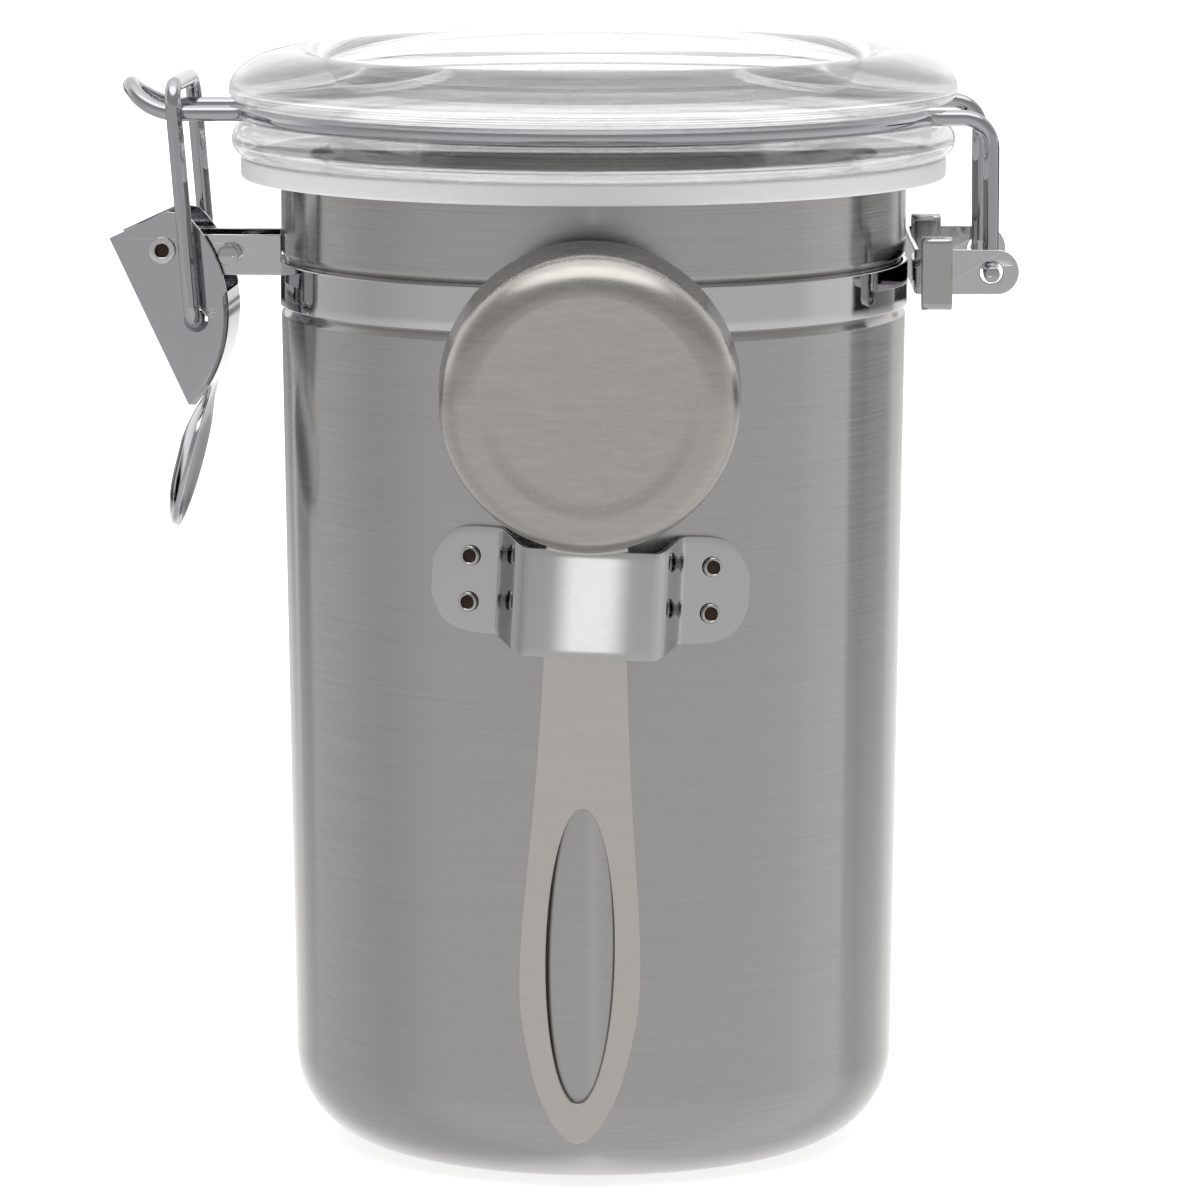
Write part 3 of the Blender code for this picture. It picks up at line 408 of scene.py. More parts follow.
def mesh_of(made: Object, name: str, angle: float = 32.0) -> Mesh:
    """Applies an object's modifiers, or turns a curve into a mesh, and removes the object.

    Args:
        made: the object.
        name: the mesh's name.
        angle: edges sharper than this many degrees stay sharp.

    Returns:
        The welded mesh, with smooth faces.
    """
    bpy.context.view_layer.update()
    graph = bpy.context.evaluated_depsgraph_get()
    mesh = bpy.data.meshes.new_from_object(made.evaluated_get(graph))
    mesh.name = name
    bpy.data.objects.remove(made)
    edit = bmesh.new()
    edit.from_mesh(mesh)
    bmesh.ops.remove_doubles(edit, verts=edit.verts, dist=WELD)
    bmesh.ops.recalc_face_normals(edit, faces=edit.faces)
    edit.to_mesh(mesh)
    edit.free()
    mesh.shade_smooth()
    mesh.set_sharp_from_angle(angle=math.radians(angle))
    return mesh


def loose(name: str, data: bpy.types.ID) -> Object:
    """Puts some data in the scene.

    Args:
        name: the new object's name.
        data: its mesh, curve or camera.

    Returns:
        The object.
    """
    made = bpy.data.objects.new(name, data)
    bpy.context.scene.collection.objects.link(made)
    return made


def sheet_of(edit: bmesh.types.BMesh, name: str) -> Mesh:
    """Turns an edit into a mesh that is smooth but for its corners.

    Args:
        edit: the edit, which is freed.
        name: the mesh's name.

    Returns:
        The mesh.
    """
    mesh = bpy.data.meshes.new(name)
    edit.to_mesh(mesh)
    edit.free()
    mesh.shade_smooth()
    mesh.set_sharp_from_angle(angle=math.radians(CORNER))
    return mesh


def thicken(made: Object, thickness: float, offset: float) -> None:
    """Gives a surface a sheet's thickness.

    Args:
        made: the surface's object.
        thickness: the sheet's thickness.
        offset: -1 lays the sheet behind the surface, and 0 lays it on both sides.
    """
    shell = made.modifiers.new("Sheet", "SOLIDIFY")
    shell.thickness = thickness
    shell.offset = offset
    shell.use_even_offset = True


def surface(name: str, rows: Sequence[Sequence[Vector]]) -> Object:
    """A surface through rows of points.

    Args:
        name: the object's name.
        rows: the rows, each with as many points.

    Returns:
        The object.
    """
    wide = len(rows[0])
    corners = [i * wide + j for i in range(len(rows) - 1) for j in range(wide - 1)]
    faces = [(first, first + 1, first + wide + 1, first + wide) for first in corners]
    mesh = bpy.data.meshes.new(name)
    mesh.from_pydata([point for row in rows for point in row], [], faces)
    return loose(name, mesh)


def turned(name: str, profile: Sequence[Flat], steps: int, wall: float = 0.0, closed: bool = False) -> Mesh:
    """Turns a profile about Z.

    Args:
        name: the mesh's name.
        profile: (radius, height) points that run down the outer side.
        steps: the number of steps in a turn.
        wall: the sheet's thickness behind the profile, or 0 for a solid.
        closed: whether the profile's last point joins its first.

    Returns:
        The mesh.
    """
    mesh = bpy.data.meshes.new(name)
    edges = [(i, i + 1) for i in range(len(profile) - 1)]
    if closed:
        edges.append((len(profile) - 1, 0))
    mesh.from_pydata([(radius, 0, height) for radius, height in profile], edges, [])
    made = loose(name, mesh)
    screw = made.modifiers.new("Turn", "SCREW")
    screw.steps = screw.render_steps = steps
    screw.use_merge_vertices = True
    screw.merge_threshold = WELD
    if wall:
        thicken(made, wall, -1.0)
    return mesh_of(made, name)


def stamped(
    name: str, outline: Sequence[Flat], thickness: float, edge: float, holes: Iterable[Sequence[Flat]] = ()
) -> Mesh:
    """A flat plate with rounded edges, in the XY plane with its middle on it.

    Args:
        name: the mesh's name.
        outline: the plate's outline.
        thickness: the sheet's thickness.
        edge: the radius of the rounded edges.
        holes: the outlines of its holes.

    Returns:
        The mesh.
    """
    curve = bpy.data.curves.new(name, "CURVE")
    curve.dimensions = "2D"
    curve.fill_mode = "BOTH"
    curve.extrude = thickness / 2 - edge
    curve.bevel_depth = edge
    curve.bevel_resolution = 2
    curve.offset = -edge
    for points in (outline, *holes):
        line = curve.splines.new("POLY")
        line.points.add(len(points) - 1)
        line.use_cyclic_u = True
        for point, (x, y) in zip(line.points, points):
            point.co = (x, y, 0, 1)
    return mesh_of(loose(name, curve), name, CORNER)


def drawn_wire(name: str, route: Sequence[Vector], radius: float) -> Mesh:
    """A round wire along a route, with slightly rounded cut ends.

    Args:
        name: the mesh's name.
        route: the wire's middle line.
        radius: the wire's radius.

    Returns:
        The mesh.
    """
    curve = bpy.data.curves.new(name, "CURVE")
    curve.dimensions = "3D"
    curve.bevel_depth = radius
    curve.bevel_resolution = 7
    curve.use_fill_caps = True
    # the cut ends round off over a quarter of the radius
    nose = radius * 0.25
    sizes = [0.72, 0.93, 1.0]
    ends = []
    for tip, inner in ((route[0], route[1]), (route[-1], route[-2])):
        inward = (inner - tip).normalized()
        ends.append((tip + inward * nose, tip + inward * nose * 0.3))
    places = [route[0], ends[0][1], ends[0][0], *route[1:-1], ends[1][0], ends[1][1], route[-1]]
    sizes = sizes + [1.0] * (len(route) - 2) + sizes[::-1]
    line = curve.splines.new("POLY")
    line.points.add(len(places) - 1)
    for point, place, size in zip(line.points, places, sizes):
        point.co = (*place, 1)
        point.radius = size
    return mesh_of(loose(name, curve), name, CORNER)


def bent(points: Sequence[Sequence[float]], bends: Sequence[float], steps: int = 14) -> list[Vector]:
    """A route of straight runs joined by round bends.

    Args:
        points: the route's corners and ends.
        bends: a radius for each inner point, or 0 for none.
        steps: the number of steps in a bend.

    Returns:
        The route's points.
    """
    route = [Vector(points[0])]
    for before, corner, after, radius in zip(points, points[1:], points[2:], bends):
        corner = Vector(corner)
        if not radius:
            route.append(corner)
            continue
        back = (Vector(before) - corner).normalized()
        ahead = (Vector(after) - corner).normalized()
        half = back.angle(ahead) / 2
        middle = corner + (back + ahead).normalized() * (radius / math.sin(half))
        cut = radius / math.tan(half)
        start, end = ((corner + way * cut - middle).normalized() for way in (back, ahead))
        route += [middle + start.slerp(end, i / steps) * radius for i in range(steps + 1)]
    route.append(Vector(points[-1]))
    return route


@dataclass
class Station:
    """One cross-section of a strip: its middle, the way through the sheet and the way across it."""

    middle: Vector
    through: Vector
    across: Vector
    half_width: float
    half_sheet: float
    cup: float = 0.0

    def ring(self, edge: float, columns: int) -> list[Vector]:
        """The points round the section.

        Args:
            edge: the radius of its rounded edges.
            columns: the number of steps across it.

        Returns:
            The points, in order round the section.
        """
        flat = self.half_width - edge
        shares = [2 * j / columns - 1 for j in range(columns + 1)]
        corner = [math.pi / 4 * k for k in range(1, 4)]
        section = [(share * flat, self.half_sheet) for share in shares]
        section += [(flat + edge * math.sin(a), self.half_sheet * math.cos(a)) for a in corner]
        section += [(share * flat, -self.half_sheet) for share in reversed(shares)]
        section += [(-flat - edge * math.sin(a), -self.half_sheet * math.cos(a)) for a in corner]
        across, through = self.across.normalized(), self.through.normalized()
        return [
            self.middle + across * w + through * (t + self.cup * (1 - (w / self.half_width) ** 2))
            for w, t in section
        ]


def strip(
    name: str, stations: Sequence[Station], edge: float, columns: int = 4, closed: bool = False
) -> Mesh:
    """A flat strip swept through its stations.

    Args:
        name: the mesh's name.
        stations: its cross-sections in order.
        edge: the radius of its long edges.
        columns: the number of steps across it.
        closed: whether the last station joins the first.

    Returns:
        The mesh.
    """
    rings = [station.ring(edge, columns) for station in stations]
    size = len(rings[0])
    edit = bmesh.new()
    rows = [[edit.verts.new(point) for point in ring] for ring in rings]
    pairs = list(zip(rows, rows[1:]))
    if closed:
        pairs.append((rows[-1], rows[0]))
    for low, high in pairs:
        for j in range(size):
            k = (j + 1) % size
            edit.faces.new((low[j], low[k], high[k], high[j]))
    if not closed:
        edit.faces.new(rows[0])
        edit.faces.new(list(reversed(rows[-1])))
    bmesh.ops.recalc_face_normals(edit, faces=edit.faces)
    return sheet_of(edit, name)


def headings(places: Sequence[Vector]) -> list[Vector]:
    """Returns the way that a route runs at each of its places."""
    last = len(places) - 1
    return [places[min(i + 1, last)] - places[max(i - 1, 0)] for i in range(last + 1)]


def strip_along(name: str, route: Sequence[Vector], half_width: float, half_sheet: float) -> Mesh:
    """A strip on edge along a level route.

    Args:
        name: the mesh's name.
        route: its middle line, level.
        half_width: half its height.
        half_sheet: half its thickness.

    Returns:
        The mesh.
    """
    ways = headings(route)
    stations = [Station(at, way.cross(UP), UP, half_width, half_sheet) for at, way in zip(route, ways)]
    return strip(name, stations, 0.2 * MM)


def upright(depth: float) -> Matrix:
    """Returns the place of a plate that stands upright so far behind the middle."""
    return Matrix.Translation((0, depth, 0)) @ FRONT


def joined(name: str, parts: Iterable[tuple[Mesh, Matrix]]) -> Mesh:
    """One mesh from several that overlap or touch, as pressed and folded from one sheet.

    Args:
        name: the mesh's name.
        parts: each mesh with its place.

    Returns:
        The joined mesh.
    """
    edit = bmesh.new()
    for mesh, place in parts:
        mesh.transform(place)
        edit.from_mesh(mesh)
    return sheet_of(edit, name)


def add_piece(
    name: str,
    mesh: Mesh,
    finish: Finish,
    body: Body,
    nodes: Sequence[str] = (),
    place: Matrix | None = None,
) -> Object:
    """Puts a finished piece in the scene.

    Args:
        name: the piece's name.
        mesh: its mesh.
        finish: its finish.
        body: the body that it rides on.
        nodes: the solids that it stands for.
        place: where it goes, or None if its mesh is in place.

    Returns:
        The new object.
    """
    if place is not None:
        mesh.transform(place)
    made = loose(name, mesh)
    flat = made.modifiers.new("Flat faces", "WEIGHTED_NORMAL")
    flat.keep_sharp = True
    mesh.materials.clear()
    mesh.materials.append(finish.material())
    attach(made, body.value)
    if nodes:
        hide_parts(*nodes)
    LOG.info("%s: %d faces, %s", name, len(mesh.polygons), finish.name)
    return made


# The can and its band


@dataclass
class Can:
    """The deep-drawn can, with its rolled rim, band groove, tapered wall and round corner."""

    radius: float = 55.0 * MM
    taper: float = 2.0 * MM
    wall: float = 0.8 * MM
    corner: float = 16.0 * MM
    rim_z: float = 173.6 * MM
    curl: float = 0.8 * MM
    groove: float = 0.8 * MM
    groove_slope: float = 1.2 * MM
    band_top: float = 156.85 * MM
    band_foot: float = 148.95 * MM
    gap: float = 0.3 * MM
    # the groove's shoulder: shares of the groove's depth, and of its slope's height
    shoulder: tuple[Flat, ...] = ((0.0, 1.25), (0.08, 1.0), (0.5, 0.5), (0.92, 0.1), (1.0, -0.2))

    def band_middle(self) -> float:
        """Returns the height of the band's middle."""
        return (self.band_top + self.band_foot) / 2

    def radius_at(self, height: float) -> float:
        """Returns the outer radius of the tapered wall at a height."""
        straight = self.band_foot - self.corner
        return self.radius - self.taper * min(1.0, max(0.0, (self.band_foot - height) / straight))

    def build(self) -> None:
        """Builds the can."""
        foot = self.radius - self.taper
        curl_z = self.rim_z - self.wall - self.curl
        profile = arc(self.radius + self.curl, curl_z, self.curl, math.radians(-40), math.pi, 12)
        for level, way, rows in (
            (self.band_top + self.gap, 1, self.shoulder),
            (self.band_foot - self.gap, -1, reversed(self.shoulder)),
        ):
            slope = way * self.groove_slope
            profile += [(self.radius - self.groove * depth, level + slope * rise) for depth, rise in rows]
        profile += arc(foot - self.corner, self.corner, self.corner, 0, -QUARTER, 20)
        profile.append((0, 0))
        mesh = turned("drawn_can", profile, 240, self.wall)
        add_piece("drawn_can", mesh, BRUSHED_CAN, Body.CANISTER, ["can_body"])


@dataclass
class Latch:
    """Where the latch is: its pivot, turned a little about the vertical, and the link's pivot in it."""

    x: float = -74.8 * MM
    z: float = 158.8 * MM
    skew: float = math.radians(5.0)
    ear_half_span: float = 6.0 * MM
    link_x: float = 5.9 * MM
    link_z: float = -11.9 * MM

    def place(self) -> Matrix:
        """Returns the latch's frame."""
        return Matrix.Translation((self.x, 0, self.z)) @ Matrix.Rotation(-self.skew, 4, "Z")

    def reach(self, side: int, radius: float) -> float:
        """How far from the pivot, along an ear, a circle round the can's axis is met.

        Args:
            side: -1 for the front ear and 1 for the rear one.
            radius: the circle's radius.

        Returns:
            The distance in the latch's frame.
        """
        start = (self.place() @ Vector((0, side * self.ear_half_span, 0))).xy
        along = self.place().col[0].xy
        across = start.dot(along)
        return -across - math.sqrt(across**2 - start.length_squared + radius**2)


@dataclass
class Band:
    """The polished clamp band and its two ears."""

    can: Can
    latch: Latch
    sheet: float = 0.9 * MM
    ear_height: float = 7.1 * MM
    ear_lift: float = 5.0 * MM
    ear_round: float = 2.6 * MM
    rivet_hole: float = 2.0 * MM
    pin_hole: float = 1.75 * MM
    edge: float = 0.16 * MM
    pin_x: float = 11.78 * MM
    pin_z: float = -0.7 * MM
    steps: int = 220

    def build(self) -> None:
        """Builds the band with its ears."""
        inner = self.can.radius - self.can.groove + self.can.gap
        middle = inner + self.sheet / 2
        span, frame = self.latch.ear_half_span, self.latch.place()
        ends = [frame @ Vector((self.latch.reach(side, middle), side * span, 0)) for side in (-1, 1)]
        first, last = (math.atan2(end.y, end.x) for end in ends)
        height = self.can.band_top - self.can.band_foot
        stations = []
        for i in range(self.steps + 1):
            angle = first + (last - first) * i / self.steps
            outward = Vector((math.cos(angle), math.sin(angle), 0))
            place = outward * middle + UP * self.can.band_middle()
            stations.append(Station(place, outward, UP, height / 2, self.sheet / 2))
        parts = [(strip("band_ring", stations, 0.3 * MM), STAY)]
        parts += [(self.ear(side, inner), frame @ upright(side * span)) for side in (-1, 1)]
        mesh = joined("band_strip", parts)
        add_piece("band_strip", mesh, POLISHED, Body.CANISTER, ["clamp_band"])

    def ear(self, side: int, inner: float) -> Mesh:
        """One latch ear as a flat plate.

        Args:
            side: -1 for the front ear and 1 for the rear one.
            inner: the band's inner radius.

        Returns:
            The ear's mesh in its own plane.
        """
        foot = self.can.band_middle() + self.ear_lift - self.ear_height / 2 - self.latch.z
        top = foot + self.ear_height
        band_top = self.can.band_top - self.latch.z
        root = self.latch.reach(side, inner + self.can.gap / 2)
        clear = self.latch.reach(side, self.can.radius + self.can.gap)
        bend = self.ear_round
        end = bend - self.ear_height / 2
        outline = [(root, foot), (root, band_top), (clear, band_top), (clear, top)]
        outline += arc(end, top - bend, bend, QUARTER, math.pi, 12)
        outline += arc(end, foot + bend, bend, math.pi, 3 * QUARTER, 12)
        holes = [circle(0, 0, self.rivet_hole), circle(self.pin_x, self.pin_z, self.pin_hole)]
        return stamped("ear", outline, self.sheet, self.edge, holes)


@dataclass
class Hinge:
    """The hinge bracket with its two ears, and the clip bent round each of them."""

    x: float = 69.0 * MM
    z: float = 156.1 * MM
    half_span: float = 22.0 * MM
    sheet: float = 0.9 * MM
    height: float = 7.8 * MM
    reach: float = 4.8 * MM
    hole: float = 2.0 * MM
    hole_lift: float = 0.25 * MM
    root_x: float = 55.7 * MM
    bend: float = 1.6 * MM
    clip_depth: float = 5.3 * MM
    clip_height: float = 12.7 * MM
    clip_sheet: float = 0.7 * MM
    clip_round: float = 1.2 * MM
    clip_x: float = 56.9 * MM
    gap: float = 0.3 * MM
    edge: float = 0.16 * MM

    def build(self) -> None:
        """Builds the bracket and the clips."""
        self.build_bracket()
        self.build_clip("front", -1)
        self.build_clip("rear", 1)

    def build_bracket(self) -> None:
        """Builds the bracket: a bent base and two flat ears."""
        middle_z = self.z + self.hole_lift
        line_x = self.root_x + self.sheet / 2
        ear_start = line_x + self.bend + self.sheet
        ends = [(ear_start + MM, -self.half_span, middle_z), (line_x, -self.half_span, middle_z)]
        ends += [(x, -y, z) for x, y, z in reversed(ends)]
        route = bent(ends, [self.bend, self.bend], 8)
        parts = [(strip_along("base", route, self.height / 2, self.sheet / 2), STAY)]
        radius = self.height / 2
        outline = [(ear_start, middle_z + radius), (ear_start, middle_z - radius)]
        outline += arc(self.x + self.reach - radius, middle_z, radius, -QUARTER, QUARTER, 28)
        for side in (-1, 1):
            plate = stamped("ear", outline, self.sheet, self.edge, [circle(self.x, middle_z, self.hole)])
            parts.append((plate, upright(side * self.half_span)))
        mesh = joined("hinge_strip", parts)
        add_piece("hinge_strip", mesh, POLISHED, Body.CANISTER, ["hinge_bracket"])

    def build_clip(self, which: str, side: int) -> None:
        """Builds one clip as a closed strip round an ear.

        Args:
            which: its place, as its names have it.
            side: -1 for the front ear and 1 for the rear one.
        """
        half_width = self.sheet / 2 + self.gap + self.clip_sheet / 2
        half_height = (self.clip_height - self.clip_sheet) / 2
        bend = self.clip_round - self.clip_sheet / 2
        half_depth = self.clip_depth / 2
        middle_x = self.clip_x + half_depth
        wide, high = half_width - bend, half_height - bend
        stations = []
        for i, (y, z) in enumerate(((1, 1), (-1, 1), (-1, -1), (1, -1))):
            for step in range(9):
                angle = (i + step / 8) * QUARTER
                outward = Vector((0, math.cos(angle), math.sin(angle)))
                corner = Vector((middle_x, y * wide + side * self.half_span, self.z + z * high))
                middle = corner + outward * bend
                stations.append(Station(middle, outward, Vector((1, 0, 0)), half_depth, self.clip_sheet / 2))
        name = f"hinge_collar_{which}"
        mesh = strip(name, stations, 0.2 * MM, closed=True)
        add_piece(name, mesh, PRESSED, Body.CANISTER, [f"hinge_clip_{which}"])


# The lid, its seal and the bail


@dataclass
class Lid:
    """The clear moulded lid and the silicone seal under it."""

    radius: float = 64.1 * MM
    top_z: float = 193.5 * MM
    edge_z: float = 186.5 * MM
    crown_radius: float = 52.5 * MM
    dish_radius: float = 46.8 * MM
    dish_z: float = 187.0 * MM
    dish_slope: float = 1.2 * MM
    dish_fillet: float = 2.2 * MM
    lip: float = 3.4 * MM
    under_rim: float = 1.5 * MM
    groove_radius: float = 61.0 * MM
    groove_z: float = 182.9 * MM
    groove: float = 1.94 * MM
    bulge_radius: float = 63.6 * MM
    bulge_z: float = 178.0 * MM
    bulge_width: float = 2.4 * MM
    foot_z: float = 175.3 * MM
    foot_radius: float = 62.3 * MM
    boss_radius: float = 49.8 * MM
    boss_wall: float = 3.4 * MM
    boss_drop: float = 4.2 * MM
    floor: float = 4.4 * MM
    seal_radius: float = 62.0 * MM
    seal_top: float = 175.0 * MM
    seal_under: float = 173.9 * MM
    seal_foot: float = 171.4 * MM
    seal_wall: float = 2.6 * MM
    seal_inner: float = 50.1 * MM
    fillet: float = 0.5 * MM
    foot_inset: float = 0.4 * MM

    def build(self) -> None:
        """Builds the lid and the seal."""
        add_piece("clear_lid", turned("clear_lid", self.profile(), 256), ACRYLIC, Body.LID, ["lid"])
        add_piece("seal_ring", self.seal(), SILICONE, Body.LID, ["lid_seal"])

    def profile(self) -> list[Flat]:
        """Draws the lid's profile.

        Returns:
            Its points, from the middle of the lid's top to the middle of its underside.
        """
        dish_foot = self.dish_radius - self.dish_slope - self.dish_fillet
        lip_z = self.top_z - self.lip
        floor_z = self.dish_z - self.floor
        boss_foot = self.foot_z - self.boss_drop + self.fillet
        boss_inner = self.boss_radius - self.boss_wall
        crown_x, edge_x = self.crown_radius, self.radius - self.under_rim
        bulge_x, foot_x = self.bulge_radius - self.bulge_width, self.foot_radius - self.foot_inset
        bulge_rise = self.groove_z - self.groove - self.bulge_z
        points = [(0.0, self.dish_z), (dish_foot - self.fillet, self.dish_z)]
        points += arc(dish_foot, self.dish_z + self.dish_fillet, self.dish_fillet, -QUARTER, 0, 8)
        points += ellipse_arc(crown_x, lip_z, crown_x - self.dish_radius, self.lip, math.pi, QUARTER, 12)
        for x, z, width, height, start, steps in (
            (crown_x, self.edge_z, self.radius - crown_x, self.top_z - self.edge_z, QUARTER, 18),
            (edge_x, self.edge_z, self.under_rim, self.under_rim, 0, 6),
        ):
            points += ellipse_arc(x, z, width, height, start, start - QUARTER, steps)[1:]
        points += arc(self.groove_radius, self.groove_z, self.groove, QUARTER * 0.94, 3 * QUARTER, 14)
        points += ellipse_arc(bulge_x, self.bulge_z, self.bulge_width, bulge_rise, QUARTER * 0.9, 0, 9)
        low, out = self.bulge_z - self.foot_z, self.bulge_radius - foot_x
        points += ellipse_arc(foot_x, self.bulge_z, out, low, 0, -QUARTER, 9)[1:]
        points.append((self.boss_radius, self.foot_z))
        points += arc(self.boss_radius - self.fillet, boss_foot, self.fillet, 0, -QUARTER, 4)
        points += arc(boss_inner + self.fillet, boss_foot, self.fillet, -QUARTER, -2 * QUARTER, 4)
        bend = self.dish_fillet
        points += arc(boss_inner - bend, floor_z - bend, bend, 0, QUARTER, 6)
        points.append((0.0, floor_z))
        return points

    def seal(self) -> Mesh:
        """Shapes the seal: a flat ring with a round-edged skirt.

        Returns:
            The seal's mesh.
        """
        edge, skirt = self.fillet, self.seal_radius - self.seal_wall
        points = [(self.seal_inner, self.seal_top)]
        points += arc(self.seal_radius - edge, self.seal_top - edge, edge, QUARTER, 0, 4)
        points += arc(self.seal_radius - edge, self.seal_foot + edge, edge, 0, -QUARTER, 4)
        points += arc(skirt + edge, self.seal_foot + edge, edge, -QUARTER, -2 * QUARTER, 4)
        points += [(skirt, self.seal_under), (self.seal_inner, self.seal_under)]
        return turned("seal_ring", points, 220, closed=True)


@dataclass
class Bail:
    """The bail: one wire that rings the lid, with two hinge legs and a hooked nose."""

    hinge: Hinge
    wire: float = 1.4 * MM
    ring: float = 61.0 * MM
    z: float = 182.9 * MM
    leg_bend: float = 5.0 * MM
    foot_bend: float = 2.0 * MM
    ring_bend: float = 3.5 * MM
    end_past: float = 2.2 * MM
    leg_gap: float = 0.55 * MM
    nose_half_width: float = 9.5 * MM
    hook_x: float = -72.5 * MM
    hook_length: float = 10.2 * MM
    hook_radius: float = 11.0 * MM
    lead: float = math.radians(5)
    ring_steps: int = 56
    hook_steps: int = 28

    def half(self) -> list[Vector]:
        """Lays the front half of the wire's route.

        Returns:
            Its points, from the hinge end to the nose's tip.
        """
        leg_y = self.hinge.half_span - self.hinge.sheet / 2 - self.leg_gap - self.wire
        end_y = self.hinge.half_span + self.hinge.sheet / 2 + self.end_past
        leave = math.asin(leg_y / self.ring)
        arrive = math.pi - math.asin(self.nose_half_width / self.ring)
        start = leave + self.lead
        turn = (arrive - self.lead - start) / self.ring_steps
        angles = [start + turn * i for i in range(self.ring_steps + 1)]
        points = [
            (self.hinge.x, -end_y, self.hinge.z),
            (self.hinge.x, -leg_y, self.hinge.z),
            (self.hinge.x, -leg_y, self.z),
            (self.ring * math.cos(leave), -leg_y, self.z),
            *((self.ring * math.cos(angle), -self.ring * math.sin(angle), self.z) for angle in angles),
            (self.ring * math.cos(arrive), -self.nose_half_width, self.z),
            (self.hook_x, -self.nose_half_width, self.z),
        ]
        bends = [self.foot_bend, self.leg_bend, self.ring_bend] + [0.0] * len(angles) + [self.ring_bend]
        route = bent(points, bends)
        for i in range(1, self.hook_steps + 1):
            swing = QUARTER * i / self.hook_steps
            rise = self.hook_length * math.sin(swing) / self.hook_radius
            x = self.hook_x - self.hook_radius * math.sin(rise)
            z = self.z + self.hook_radius * (1 - math.cos(rise))
            route.append(Vector((x, -self.nose_half_width * math.cos(swing), z)))
        return route

    def build(self) -> None:
        """Builds the bail."""
        front = self.half()
        rear = [Vector((p.x, -p.y, p.z)) for p in reversed(front[:-1])]
        mesh = drawn_wire("bail", front + rear, self.wire)
        add_piece("bail", mesh, CHROMED, Body.LID, ["bail_wire"])


# The latch


